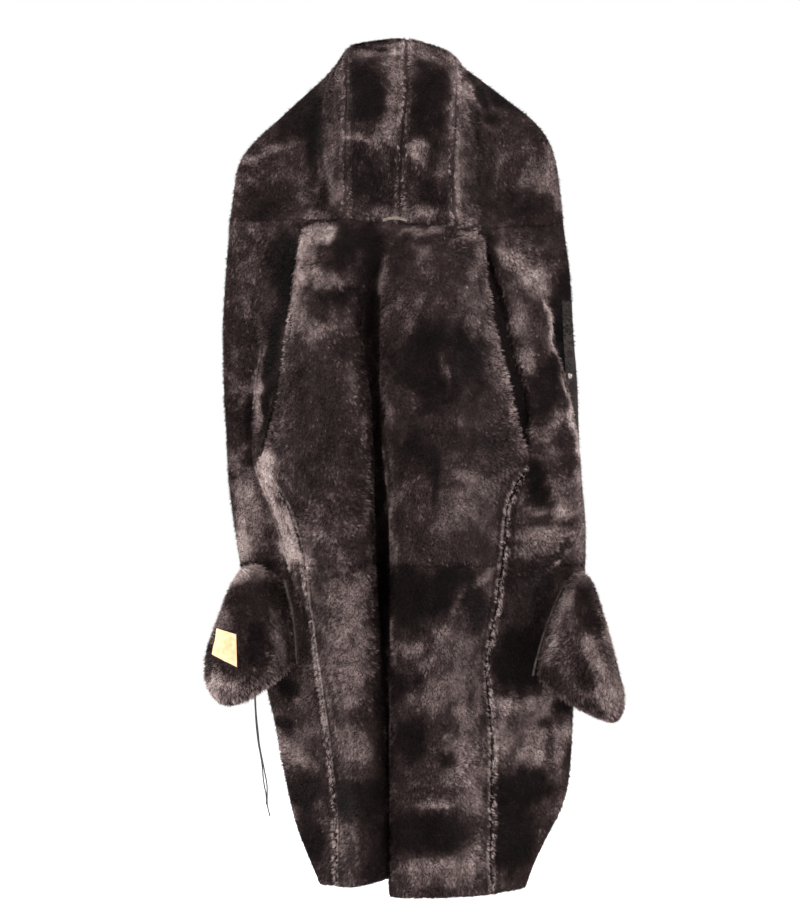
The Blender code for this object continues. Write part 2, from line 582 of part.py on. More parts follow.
def armhole_ring(side, backs, fronts, offset):
    """Points round the armhole on the leather side, starting at the shoulder."""
    back_fur, back_leather = backs[side]
    front_fur, front_leather, _, heights = fronts[side]
    low = BACK_HEIGHTS.index(UNDERARM)
    back_edge = back_leather[low:, -1] + unit(back_leather[low:, -1] - back_fur[low:, -1]) * offset
    start, stop = heights.index(UNDERARM), len(heights) - 2
    front_edge = front_leather[start:stop, 0]
    front_edge = front_edge + unit(front_edge - front_fur[start:stop, 0]) * offset
    along, across = ring_profile(SLEEVE_SPOKES)
    top_h, low_h = back_edge[-1, 2], back_edge[0, 2]
    ring = []
    for part, way in zip(along, across):
        height = top_h + part * (low_h - top_h)
        edge = back_edge if way <= 0 else front_edge
        ring.append([np.interp(height, edge[:, 2], edge[:, axis]) for axis in range(2)] + [height])
    return np.array(ring)


def sleeve_rings(side, inset, backs, fronts):
    """Rings of a sleeve from the armhole to the cuff, drawn in by the given inset."""
    source = SLEEVE[side]
    along, across = ring_profile(SLEEVE_SPOKES)
    first = armhole_ring(side, backs, fronts, ARMHOLE_GAP[side])
    middle = first.mean(axis=0)
    reach = np.linalg.norm(first - middle, axis=1, keepdims=True)
    first = middle + (first - middle) * (1 - inset / np.maximum(reach, LEAST_REACH * inset + 1e-6))
    rings = [first]
    for ring in range(len(source["top_x"])):
        top = np.array((source["top_x"][ring] * side, source["centre_y"][ring], source["top_h"][ring]))
        under = np.array((source["under_x"][ring] * side, source["centre_y"][ring], source["under_h"][ring]))
        slope = unit(under - top) * inset
        top, under = top + slope, under - slope
        half = source["half"][ring] - inset
        rings.append(top + np.outer(along, under - top) + np.outer(across * half, (0.0, 1.0, 0.0)))
    return np.array(rings)


def make_sleeves(fur_finish, backs, fronts):
    """The sleeves, hollow from armhole to cuff, hanging on the leather side."""
    for side, word in SIDE_NAMES.items():
        outer = sleeve_rings(side, 0.0, backs, fronts)
        inner = sleeve_rings(side, SLEEVE_WALL, backs, fronts)
        add_tube(f"sleeve_{word}", outer, inner, fur_finish)


def beside_mouth(front, offset, height):
    """A place on a front's fur side at a distance outwards from its mouth, and the way in there."""
    fur, _, away, _ = front
    columns = range(MOUTH_COLUMN - 1, MOUTH_COLUMN + 3)
    line, inward = (np.array([[np.interp(height, fur[:, column, 2], grid[:, column, axis]) for axis in range(3)]
                              for column in columns]) for grid in (fur, away))
    steps = np.linalg.norm(np.diff(line, axis=0), axis=1)
    offsets = (-MOUTH_HALF - steps[0], -MOUTH_HALF, MOUTH_HALF, MOUTH_HALF + steps[2])
    return [np.array([np.interp(offset, offsets, values[:, axis]) for axis in range(3)])
            for values in (line, inward)]


def bag_mouth(side, front, inset):
    """The ring by which a pocket bag is sewn round the mouth, on the fur side of the front."""
    top_h, low_h = (BAG[side][name][0] + way * inset for name, way in (("top_h", -1), ("low_h", 1)))
    half = BAG[side]["half"][0] - inset
    ring = []
    for along, across in zip(*ring_profile(BAG_SPOKES)):
        spot, inward = beside_mouth(front, -across * half, top_h + along * (low_h - top_h))
        ring.append(spot - unit(inward) * BAG_LIFT)
    return ring


def bag_rings(side, front, inset):
    """Rings of a pocket bag from its mouth to its closed end, drawn in by the given inset."""
    source = BAG[side]
    along, across = ring_profile(BAG_SPOKES)
    rings = [bag_mouth(side, front, inset)]
    last = len(source["top_x"]) - 1
    for ring in range(1, last + 1):
        top = np.array((source["top_x"][ring] * side, source["top_y"][ring], source["top_h"][ring]))
        low = np.array((source["low_x"][ring] * side, source["low_y"][ring], source["low_h"][ring]))
        slope = unit(low - top) * inset
        top, low = top + slope, low - slope
        half = 0.0 if inset and ring == last else max(source["half"][ring] - inset, LEAST_BAG_HALF)
        rings.append(top + np.outer(along, low - top) + np.outer(across * half, bag_facing(side)[ring]))
    return np.array(rings)


def bag_facing(side):
    """The way that each section of a pocket bag's near skin faces."""
    turn = np.radians(BAG[side]["turn"])
    return np.stack((-side * np.cos(turn), -np.sin(turn), np.zeros(len(turn))), axis=1)


def make_pocket_bags(fur_finish, fronts):
    """The fur pocket bags: two skins each, round a hollow that is open to the mouth in the front."""
    middle = BAG_SPOKES // 2
    for side, word in SIDE_NAMES.items():
        rings = [bag_rings(side, fronts[side], inset) for inset in (0.0, BAG_WALL)]
        apart = bag_facing(side)[:, None] * SEAM / 2
        for skin, first, way in (("near", 0, 1), ("far", middle, -1)):
            spokes = np.arange(first, first + middle + 1) % BAG_SPOKES
            outer, inner = (ring[:, spokes] + apart * way for ring in rings)
            add_wall(f"pocket_bag_{word}_{skin}", outer, inner, fur_finish)


def add_strip(name, fur, leather, lift, thickness, finish):
    """Lay a strip on the fur side of a panel, made from the panel's own points moved out."""
    away = unit(leather - fur)
    return add_wall(name, fur - away * (lift + thickness), fur - away * lift, finish)


def make_front_trims(fronts, edging, band):
    """Leather edges beside the pocket mouths, and the band down the turned-back right front."""
    for side, word in SIDE_NAMES.items():
        fur, leather, _, heights = fronts[side]
        rows = [row for row, height in enumerate(heights) if MOUTH_LOW[side] <= height <= MOUTH_HIGH]
        strips = []
        for grid in (fur, leather):
            lip, inner = grid[rows, MOUTH_COLUMN], grid[rows, MOUTH_COLUMN - 1]
            borders = [lip + unit(inner - lip) * reach for reach in EDGING_REACH]
            strips.append(np.stack(borders, axis=1))
        add_strip(f"pocket_edge_{word}", *strips, EDGING_LIFT, EDGING_THICKNESS, edging)
    fur, leather, _, heights = fronts[RIGHT]
    rows = [row for row, height in enumerate(heights) if BAND_LOW <= height <= BAND_HIGH]
    strips = [grid[rows][:, MOUTH_COLUMN + 1:] for grid in (fur, leather)]
    add_strip("front_band_right", *strips, SEAM, BAND_THICKNESS, band)


def surface_at(obj, x, height, from_leather=False):
    """Find where a line along Y meets an object, and the surface's direction there."""
    mesh = bmesh.new()
    mesh.from_mesh(obj.data)
    tree = BVHTree.FromBMesh(mesh)
    mesh.free()
    way = -1.0 if from_leather else 1.0
    start = place((x, -1000.0 * way, height))
    spot, normal, _, _ = tree.ray_cast(Vector(start), Vector((0.0, way, 0.0)))
    return np.array(spot) / MM + (0.0, HOLD_DEPTH, HOLD_HEIGHT), np.array(normal)


def make_label(patch):
    """The bare leather patch sewn on the near face of the left pocket bag."""
    bag = bpy.data.objects["pocket_bag_left_near"]
    top_inner, top_outer, low_outer, low_inner = (np.array(corner, dtype=float) for corner in LABEL_CORNERS)
    grid, away = [], []
    for down in np.linspace(0.0, 1.0, LABEL_CELLS):
        start, stop = top_inner + (low_inner - top_inner) * down, top_outer + (low_outer - top_outer) * down
        shares = np.linspace(0.0, 1.0, LABEL_CELLS)
        line = [surface_at(bag, *(start + (stop - start) * share)) for share in shares]
        grid.append([spot for spot, _ in line])
        away.append([normal for _, normal in line])
    grid, away = np.array(grid), unit(np.array(away))
    add_wall("label_patch", grid + away * (LABEL_LIFT + LABEL_THICKNESS), grid + away * LABEL_LIFT, patch)


def add_disc(name, centre, axis, radii, finish, hole=0.0):
    """Turn a small disc, dome or ring from (radius, height) pairs along an axis."""
    axis = unit(np.asarray(axis))
    across = unit(np.cross(axis, (0.0, 0.0, 1.0)))
    upright = np.cross(across, axis)
    turns = np.arange(DISC_SPOKES) * 2 * math.pi / DISC_SPOKES
    round_axis = np.outer(np.cos(turns), across) + np.outer(np.sin(turns), upright)
    rings = np.array([centre + axis * height + round_axis * radius for radius, height in radii])
    if hole:
        bore = np.array([centre + axis * height + round_axis * hole for height in (radii[0][1], radii[-1][1])])
        return add_tube(name, rings, bore, finish)
    points = rings.reshape(-1, 3)
    faces = [(low + spoke, low + (spoke + 1) % DISC_SPOKES, low + DISC_SPOKES + (spoke + 1) % DISC_SPOKES,
              low + DISC_SPOKES + spoke)
             for low in range(0, len(points) - DISC_SPOKES, DISC_SPOKES) for spoke in range(DISC_SPOKES)]
    faces += [tuple(range(DISC_SPOKES)), tuple(range(len(points) - DISC_SPOKES, len(points)))]
    return add_object(name, points, faces, finish)


def make_fastenings(metal):
    """The snap on the right front's band and the eyelet that the drawcord leaves by."""
    spot, normal = surface_at(bpy.data.objects["front_band_right"], *SNAP_AT)
    add_disc("snap_socket", spot, normal, SNAP_PROFILE, metal)
    spot, normal = surface_at(bpy.data.objects["front_lower_left"], *EYELET_AT, from_leather=True)
    add_disc("cord_eyelet", spot, normal, EYELET_PROFILE, metal, hole=EYELET_BORE)
    return spot, normal


def make_hanger_loop(strap):
    """The narrow strap loop that stands a little off the neck seam."""
    spots = []
    for part in np.linspace(0.0, 1.0, LOOP_CELLS):
        x = LOOP_X[0] + (LOOP_X[1] - LOOP_X[0]) * part
        arch = math.sin(math.pi * part)
        height = LOOP_HEIGHT + LOOP_RISE * arch
        word = "left" if x < HOOD_CENTRE_X["x"][0] else "right"
        spot, _ = surface_at(bpy.data.objects[f"hood_centre_{word}"], x, LOOP_HEIGHT)
        spots.append((x, spot[1] - LOOP_LIFT - LOOP_STAND * arch, height))
    spots = np.array(spots)
    rise = np.array((0.0, 0.0, LOOP_WIDTH / 2))
    behind = np.stack((spots - rise, spots + rise), axis=1)
    add_wall("hanger_loop", behind - (0.0, LOOP_THICKNESS, 0.0), behind, strap)


def make_drawcords(spot, normal, finish):
    """The two free ends of the drawcord, hanging from the eyelet."""
    for name, way, route in (("drawcord_long", 1.0, LONG_CORD), ("drawcord_short", -1.0, SHORT_CORD)):
        start, out, drop = (spot + normal * reach + (way * CORD_APART, 0.0, 0.0) for reach in CORD_OUT)
        stations = [start, out, drop + CORD_DROP, *route]
        line, _ = thread(stations, [CORD_POINTS] * (len(stations) - 1))
        curve = bpy.data.curves.new(name, "CURVE")
        curve.dimensions = "3D"
        spline = curve.splines.new("POLY")
        spline.points.add(len(line) - 1)
        for point, position in zip(spline.points, place(line)):
            point.co = (*position, 1.0)
        curve.bevel_depth = CORD_DIAMETER / 2 * MM
        curve.bevel_resolution = 2
        curve.use_fill_caps = True
        curve.materials.append(finish)
        bpy.context.collection.objects.link(bpy.data.objects.new(name, curve))


def main():
    """Build the coat."""
    for old in list(bpy.data.objects):
        bpy.data.objects.remove(old)
    fur = material("shearling", BROWN_FUR, 0.85)
    leather = material("binding leather", GREY_LEATHER, 0.6)
    patch = material("tan leather", TAN_LEATHER, 0.6)
    metal = material("nickel", NICKEL, 0.3, 1.0)
    make_hood(fur)
    backs = make_backs(fur)
    fronts = make_fronts(fur)
    make_sleeves(fur, backs, fronts)
    make_pocket_bags(fur, fronts)
    make_front_trims(fronts, leather, leather)
    make_label(patch)
    make_hanger_loop(leather)
    spot, normal = make_fastenings(metal)
    make_drawcords(spot, normal, material("waxed cord", BLACK_CORD, 0.5))


main()
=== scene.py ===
"""Looks of a hooded shearling coat that hangs open from its hood with the fur side out.

Every skin is a thin closed shell on its solid's form, smoothed and creased, with a pile of clipped
wool grown on its fur side by Geometry Nodes.  Heights are millimetres above the hem, x is signed
across the coat, and -Y faces whoever looks at the back's fur.
"""

import logging
import math
from dataclasses import dataclass, field
from enum import Enum

import bmesh
import bpy
import numpy as np
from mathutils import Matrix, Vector, noise
from mathutils.bvhtree import BVHTree
from mathutils.kdtree import KDTree


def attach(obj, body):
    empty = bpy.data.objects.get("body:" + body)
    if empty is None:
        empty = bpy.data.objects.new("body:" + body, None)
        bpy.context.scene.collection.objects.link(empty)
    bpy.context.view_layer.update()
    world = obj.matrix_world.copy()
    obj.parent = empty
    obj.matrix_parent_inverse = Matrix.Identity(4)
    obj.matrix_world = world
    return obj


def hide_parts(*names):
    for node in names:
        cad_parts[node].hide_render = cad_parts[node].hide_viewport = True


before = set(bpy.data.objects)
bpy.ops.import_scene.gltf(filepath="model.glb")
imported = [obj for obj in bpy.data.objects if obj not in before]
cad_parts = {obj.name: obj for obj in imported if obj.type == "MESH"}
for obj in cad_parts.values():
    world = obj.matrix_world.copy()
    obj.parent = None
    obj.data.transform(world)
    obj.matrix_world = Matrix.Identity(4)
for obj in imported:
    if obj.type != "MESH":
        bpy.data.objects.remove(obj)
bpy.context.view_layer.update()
LOG = logging.getLogger("shearling coat")

Layers = tuple[tuple[float, float, float], ...]     # noise: strength, size in mm, where it is read
Line = tuple[tuple[float, float], ...]

MM = 0.001
HOLD_HEIGHT = 1372.0            # the held point above the hem, and its depth
HOLD_DEPTH = 28.0


def place(x: float, depth: float, height: float) -> Vector:
    """Turn millimetres across, in depth and above the hem into metres in the row's frame."""
    return Vector((x, depth - HOLD_DEPTH, height - HOLD_HEIGHT)) * MM


def heights(points: np.ndarray) -> np.ndarray:
    """Turn metres in the row's frame into millimetres above the hem."""
    return points[:, 2] / MM + HOLD_HEIGHT


def linear(code: str) -> tuple[float, float, float, float]:
    """Turn an sRGB hex code into a linear colour.

    Args:
        code: six hex digits.

    Returns:
        Linear red, green, blue and an alpha of one.
    """
    parts = [int(code[at:at + 2], 16) / 255 for at in (0, 2, 4)]
    return (*(part / 12.92 if part <= 0.04045 else ((part + 0.055) / 1.055) ** 2.4
              for part in parts), 1.0)


def live(sockets: bpy.types.bpy_prop_collection, key: str | int) -> bpy.types.NodeSocket:
    """Find a socket by its place, or the one in use by its name.

    Args:
        sockets: a node's inputs or outputs.
        key: the socket's index or name.

    Returns:
        The socket.
    """
    if isinstance(key, int):
        return sockets[key]
    return next(socket for socket in sockets if socket.name == key and socket.enabled)


def add_node(tree: bpy.types.NodeTree, kind: str, settings: dict | None = None,
             inputs: dict | None = None) -> bpy.types.Node:
    """Add a node with its settings, values and links.

    Args:
        tree: the tree that takes it.
        kind: the node's type.
        settings: the node's own properties.
        inputs: values, or sockets to link from, by socket name or index.

    Returns:
        The new node.
    """
    node = tree.nodes.new(kind)
    for name, value in (settings or {}).items():
        setattr(node, name, value)
    for key, value in (inputs or {}).items():
        socket = live(node.inputs, key)
        if isinstance(value, bpy.types.NodeSocket):
            tree.links.new(value, socket)
        else:
            socket.default_value = value
    return node


def out(node: bpy.types.Node, key: str | int = 0) -> bpy.types.NodeSocket:
    """Return one of a node's outputs."""
    return live(node.outputs, key)


def add_object(name: str, data: bpy.types.ID) -> bpy.types.Object:
    """Put a mesh, curve, camera or light into the scene.

    Args:
        name: the object's name.
        data: what it shows.

    Returns:
        The object, at the origin.
    """
    made = bpy.data.objects.new(name, data)
    bpy.context.scene.collection.objects.link(made)
    return made


# ---------------------------------------------------------------- finishes

class Finish:
    """What all finishes share: a new node material and the way that its shader is set."""

    name: str

    def start(self) -> tuple[bpy.types.Material, bpy.types.NodeTree, bpy.types.Node]:
        """Make a new node material.

        Returns:
            The material, its tree and its shader.
        """
        made = bpy.data.materials.new(self.name)
        made.use_nodes = True
        return made, made.node_tree, made.node_tree.nodes["Principled BSDF"]

    @staticmethod
    def wear(shader: bpy.types.Node, links: dict, **values: object) -> None:
        """Link the shader's patterned sockets and set its even ones.

        Args:
            shader: the material's shader.
            links: what its sockets are linked from, by name.
            values: even values by socket name, with _ for a space.
        """
        for name, source in links.items():
            shader.id_data.links.new(source, shader.inputs[name])
        for name, value in values.items():
            shader.inputs[name.replace("_", " ")].default_value = value


def ramp(tree: bpy.types.NodeTree, value: bpy.types.NodeSocket,
         stops: tuple[tuple[float, str], ...]) -> bpy.types.NodeSocket:
    """Colour a value by hex stops.

    Args:
        tree: the material's tree.
        value: what is coloured.
        stops: places from 0 to 1 with their hex colours.

    Returns:
        The colour's socket.
    """
    node = add_node(tree, "ShaderNodeValToRGB", None, {"Fac": value})
    elements = node.color_ramp.elements
    while len(elements) < len(stops):
        elements.new(0.5)
    for element, (at, code) in zip(elements, stops):
        element.position = at
        element.color = linear(code)
    return out(node, "Color")


@dataclass(frozen=True)
class Shearling(Finish):
    """Clipped and dyed sheep's wool.

    Its fibres lie in clouds, so the same brown reads from near black to a greyish mauve: painted
    sheen and shade in its tone.  Tone comes from the piece's own attribute, the fibre's place from
    "tip", and each fibre is painted darker at its root and lighter at its tip: painted shade and
    light.
    """

    name: str
    shades: tuple[tuple[float, str], ...] = (
        (0.0, "0d0606"), (0.28, "231717"), (0.52, "463736"), (0.78, "9d8986"), (1.0, "dcc8c3"))
    root_shade: float = 0.30        # painted shade: a fibre's root, against its tip
    roughness: float = 0.70
    sheen: float = 0.09
    sheen_roughness: float = 0.4
    sheen_tint: str = "cfb4ae"
    gloss: float = 0.1
    on_fibres: bool = True
    clump_mm: float = 5.0
    clump_depth_mm: float = 2.0
    clump_span: tuple[float, float] = (0.3, 0.7)    # the part of their noise that shows
    between_clumps: float = 0.6     # painted shade between the clumps, against the root's

    def build(self) -> bpy.types.Material:
        """Make the material.

        Returns:
            The material, for the pile's fibres or for the skin between their roots.
        """
        made, tree, shader = self.start()
        tone = out(add_node(tree, "ShaderNodeAttribute", {"attribute_name": "tone"}), "Fac")
        links = {}
        if self.on_fibres:
            tip = out(add_node(tree, "ShaderNodeAttribute", {"attribute_name": "tip"}), "Fac")
            shade = add_node(tree, "ShaderNodeMapRange", None,
                             {"Value": tip, "To Min": self.root_shade, "To Max": 1.0})
        else:
            where = out(add_node(tree, "ShaderNodeTexCoord"), "Object")
            clumps = out(add_node(tree, "ShaderNodeTexNoise", None, {
                "Vector": where, "Scale": 1 / (self.clump_mm * MM), "Detail": 4.0,
                "Roughness": 0.7}))
            shade = add_node(tree, "ShaderNodeMapRange", None, {
                "Value": clumps, "From Min": self.clump_span[0], "From Max": self.clump_span[1],
                "To Min": self.root_shade * self.between_clumps, "To Max": 1.0})
            links["Normal"] = out(add_node(tree, "ShaderNodeBump", None, {
                "Height": clumps, "Strength": 0.9, "Distance": self.clump_depth_mm * MM}))
        links["Base Color"] = out(add_node(tree, "ShaderNodeVectorMath", {"operation": "SCALE"}, {
            0: ramp(tree, tone, self.shades), "Scale": out(shade, "Result")}))
        self.wear(shader, links, Roughness=self.roughness, Sheen_Weight=self.sheen,
                  Sheen_Roughness=self.sheen_roughness, Sheen_Tint=linear(self.sheen_tint),
                  Specular_IOR_Level=self.gloss)
        return made


@dataclass(frozen=True)
class Leather(Finish):
    """Sheepskin with a grain finish: fine irregular cells, a low satin and paler high spots."""

    name: str
    colour: str
    high: str
    cell_mm: float = 1.6
    cell_depth_mm: float = 0.4
    cell_share: float = 0.25        # how much the cells tint it, beside the clouds
    cloud_mm: float = 60.0
    tint_span: tuple[float, float] = (0.42, 0.85)   # where it starts and where it is all high
    roughness: float = 0.5
    gloss: float = 0.3
    depth: float = 0.25

    def build(self) -> bpy.types.Material:
        """Make the material.

        Returns:
            The material.
        """
        made, tree, shader = self.start()
        where = out(add_node(tree, "ShaderNodeTexCoord"), "Object")
        cells = out(add_node(tree, "ShaderNodeTexVoronoi", {"feature": "F1"}, {
            "Vector": where, "Scale": 1 / (self.cell_mm * MM), "Randomness": 1.0}))
        clouds = out(add_node(tree, "ShaderNodeTexNoise", None, {
            "Vector": where, "Scale": 1 / (self.cloud_mm * MM), "Detail": 5.0, "Roughness": 0.6}))
        mixed = out(add_node(tree, "ShaderNodeMath", {"operation": "MULTIPLY_ADD"}, {
            0: cells, 1: self.cell_share, 2: clouds}))
        bump = out(add_node(tree, "ShaderNodeBump", {"invert": True}, {
            "Height": cells, "Strength": self.depth, "Distance": self.cell_depth_mm * MM}))
        colour = ramp(tree, mixed, tuple(zip(self.tint_span, (self.colour, self.high))))
        self.wear(shader, {"Normal": bump, "Base Color": colour}, Roughness=self.roughness,
                  Specular_IOR_Level=self.gloss)
        return made


@dataclass(frozen=True)
class Metal(Finish):
    """Antiqued nickel on brass: a dull warm grey metal with a soft polish."""

    name: str
    colour: str = "938a81"
    roughness: float = 0.36
    worn_shares: tuple[float, float] = (0.7, 1.5)   # its least and most, against the middle one
    wear_mm: float = 1.5

    def build(self) -> bpy.types.Material:
        """Make the material.

        Returns:
            The material.
        """
        made, tree, shader = self.start()
        where = out(add_node(tree, "ShaderNodeTexCoord"), "Object")
        worn = out(add_node(tree, "ShaderNodeTexNoise", None, {
            "Vector": where, "Scale": 1 / (self.wear_mm * MM), "Detail": 3.0}))
        least, most = (self.roughness * share for share in self.worn_shares)
        rough = out(add_node(tree, "ShaderNodeMapRange", None, {
            "Value": worn, "To Min": least, "To Max": most}))
        self.wear(shader, {"Roughness": rough}, Base_Color=linear(self.colour), Metallic=1.0)
        return made


@dataclass(frozen=True)
class Cord(Finish):
    """Waxed braided cotton: black, with strands that cross every couple of millimetres."""

    name: str
    colour: str = "17171a"
    high: str = "2c2c31"
    strand_mm: float = 1.1
    strand_depth_mm: float = 0.2
    bands: float = 0.05             # the wave's scale, against a strand
    tint_span: tuple[float, float] = (0.2, 0.9)
    roughness: float = 0.55

    def build(self) -> bpy.types.Material:
        """Make the material.

        Returns:
            The material.
        """
        made, tree, shader = self.start()
        where = out(add_node(tree, "ShaderNodeTexCoord"), "Object")
        strands = out(add_node(tree, "ShaderNodeTexWave", {"bands_direction": "DIAGONAL"}, {
            "Vector": where, "Scale": self.bands / (self.strand_mm * MM), "Distortion": 1.5}),
            "Fac")
        bump = out(add_node(tree, "ShaderNodeBump", None, {
            "Height": strands, "Strength": 0.6, "Distance": self.strand_depth_mm * MM}))
        colour = ramp(tree, strands, tuple(zip(self.tint_span, (self.colour, self.high))))
        self.wear(shader, {"Normal": bump, "Base Color": colour}, Roughness=self.roughness)
        return made


# ---------------------------------------------------------------- the cloth's tones and creases

# Painted sheen and shade on the pile, by kind of skin: lit lips, shadows beside edges and openings,
# and sheen where it lies flatter or fuller, painted lighter or darker.  A patch has its centre,
# half sizes, lean in degrees and shift of the tone; a band has its half width, its shift and the
# points that it runs through.
SHEEN_AND_SHADE_PATCHES = {
    "hood": (
        (-60, 1284, 27, 56, 4, -0.32), (42, 1272, 33, 80, -5, -0.28), (-66, 1158, 34, 52, 8, -0.18),
        (50, 1128, 29, 36, 0, -0.16), (-19, 1286, 15, 75, 0, 0.2), (-53, 1353, 39, 11, 4, 0.12),
        (31, 1362, 55, 18, -8, 0.15), (-53, 1377, 26, 5, 4, -0.12), (-63, 1358, 20, 8, 0, 0.14),
        (62, 1344, 23, 13, 20, 0.16), (105, 1299, 8, 29, -25, 0.12), (-112, 1150, 19, 58, 0, 0.1),
        (73, 1273, 10, 49, 0, 0.14), (23, 1199, 16, 19, 20, 0.24), (-8, 1098, 97, 13, 0, 0.1),
        (-138, 1094, 29, 13, 0, 0.2), (99, 1090, 26, 6, 0, 0.12), (31, 1102, 23, 10, 0, 0.16),
        (-170, 1264, 58, 42, 35, -0.2), (-146, 1215, 15, 65, -4, -0.24),
        (-232, 1108, 45, 45, 0, -0.14), (162, 1290, 42, 18, -38, -0.26),
        (190, 1113, 49, 26, 0, -0.16), (141, 1264, 13, 10, 30, 0.16), (212, 1157, 26, 26, 0, 0.12),
        (122, 1153, 19, 49, 0, -0.06),
    ),
    "front": (
        (-193, 1008, 26, 68, 10, -0.26), (-232, 910, 32, 49, 0, -0.08),
        (-245, 933, 15, 23, 20, 0.12), (-261, 804, 16, 39, 0, 0.12), (-228, 810, 13, 71, 4, 0.1),
        (-224, 773, 8, 49, 4, -0.4), (-267, 677, 19, 75, 4, 0.16), (-254, 599, 26, 55, 0, 0.22),
        (-264, 562, 13, 32, 0, 0.24), (-241, 528, 32, 11, 0, -0.25), (-178, 408, 36, 84, 0, -0.04),
        (-186, 330, 16, 11, 0, -0.36), (-196, 272, 21, 11, -30, -0.32),
        (-154, 301, 21, 68, 0, 0.06), (-160, 165, 29, 32, 0, -0.24), (-151, 87, 23, 39, 0, -0.3),
        (177, 1021, 36, 18, -42, 0.28), (206, 956, 32, 19, -42, -0.12),
        (186, 923, 15, 32, -20, 0.14), (202, 868, 19, 23, 0, 0.22), (175, 823, 13, 36, -16, -0.3),
        (228, 810, 19, 42, 0, -0.2), (261, 972, 19, 45, 0, -0.24), (259, 875, 19, 65, -4, -0.3),
        (219, 745, 42, 11, 6, 0.2), (245, 768, 23, 16, 30, 0.1), (228, 706, 32, 19, 0, 0.12),
        (212, 664, 15, 39, 0, -0.44), (251, 651, 23, 32, 0, 0.12), (225, 577, 55, 15, 8, 0.26),
        (238, 616, 36, 10, -4, 0.2), (209, 551, 32, 8, 4, 0.2), (215, 985, 23, 23, -30, 0.26),
        (196, 612, 13, 19, 0, -0.1), (202, 473, 55, 78, 0, -0.14), (193, 376, 52, 45, 0, -0.42),
        (193, 266, 62, 45, 0, 0.14), (167, 301, 29, 10, -14, 0.24), (219, 311, 29, 10, 16, 0.2),
        (157, 243, 10, 36, 0, 0.14), (212, 217, 29, 13, 0, 0.1), (228, 272, 13, 11, 0, -0.26),
        (181, 243, 10, 6, 0, -0.36), (256, 306, 19, 11, -30, -0.3), (254, 240, 15, 36, 0, 0.26),
        (186, 170, 45, 28, 0, -0.46), (178, 97, 32, 58, 0, -0.3), (228, 146, 23, 45, 0, -0.06),
    ),
    "back": (
        (-141, 1066, 36, 19, 0, 0.38), (-157, 1030, 16, 26, 0, 0.16), (-112, 1040, 19, 13, 0, -0.1),
        (-96, 1047, 23, 23, 0, -0.1), (-105, 1019, 26, 13, 0, -0.22),
        (-134, 988, 42, 16, -12, 0.22), (-170, 959, 13, 49, 0, 0.12),
        (-109, 961, 32, 15, 10, -0.26), (-70, 1053, 36, 29, 0, -0.22), (-63, 983, 19, 68, 0, -0.26),
        (-151, 907, 23, 23, 0, 0.12), (-128, 781, 52, 91, 0, -0.1), (-170, 732, 39, 29, 0, -0.08),
        (-97, 408, 39, 120, 0, 0.16), (-89, 243, 29, 39, 0, 0.12), (-79, 156, 44, 28, 15, -0.34),
        (-96, 91, 32, 26, 0, 0.06), (-53, 75, 26, 55, 0, -0.15), (44, 1021, 71, 58, 0, -0.02),
        (105, 1063, 23, 13, 0, 0.26), (32, 1068, 36, 8, 0, 0.22), (117, 975, 19, 81, -5, 0.14),
        (57, 852, 72, 66, 0, -0.3), (66, 839, 8, 32, 20, 0.3), (105, 878, 26, 26, 0, -0.06),
        (32, 894, 32, 19, 0, -0.08), (-8, 878, 26, 36, 0, -0.1), (-2, 739, 23, 65, 0, -0.12),
        (50, 729, 42, 29, 0, -0.16), (76, 603, 65, 45, 0, 0.08), (115, 713, 29, 42, 0, -0.08),
        (99, 674, 10, 15, 0, 0.1), (50, 664, 6, 45, 4, -0.26), (15, 486, 58, 45, 0, -0.4),
        (76, 515, 36, 16, 10, -0.26), (118, 467, 23, 39, 10, -0.26), (57, 428, 26, 16, 0, 0.06),
        (5, 395, 24, 15, 0, 0.16), (66, 405, 42, 26, 0, 0.1), (11, 254, 23, 36, 0, -0.34),
        (5, 350, 23, 15, 0, -0.24), (76, 275, 13, 11, 0, -0.18), (68, 220, 18, 10, -32, -0.26),
        (66, 311, 58, 45, 0, 0.12), (102, 238, 32, 81, 0, 0.16), (105, 117, 26, 55, 0, 0.2),
        (47, 143, 32, 11, 5, 0.26), (50, 104, 71, 36, 4, -0.36), (57, 42, 68, 28, 0, 0.14),
    ),
    "pocket": (
        (-267, 512, 26, 10, 0, 0.24), (-267, 470, 23, 29, 0, -0.14), (-296, 454, 13, 39, 20, 0.06),
        (-241, 402, 19, 49, 0, -0.24), (-296, 334, 32, 23, 0, 0.34), (-306, 347, 10, 29, 0, 0.14),
        (293, 463, 16, 49, 22, -0.2), (300, 389, 15, 36, 10, 0.18), (290, 356, 16, 26, 20, -0.16),
        (326, 327, 16, 42, 14, 0.24), (296, 434, 19, 16, 0, -0.1),
    ),
}
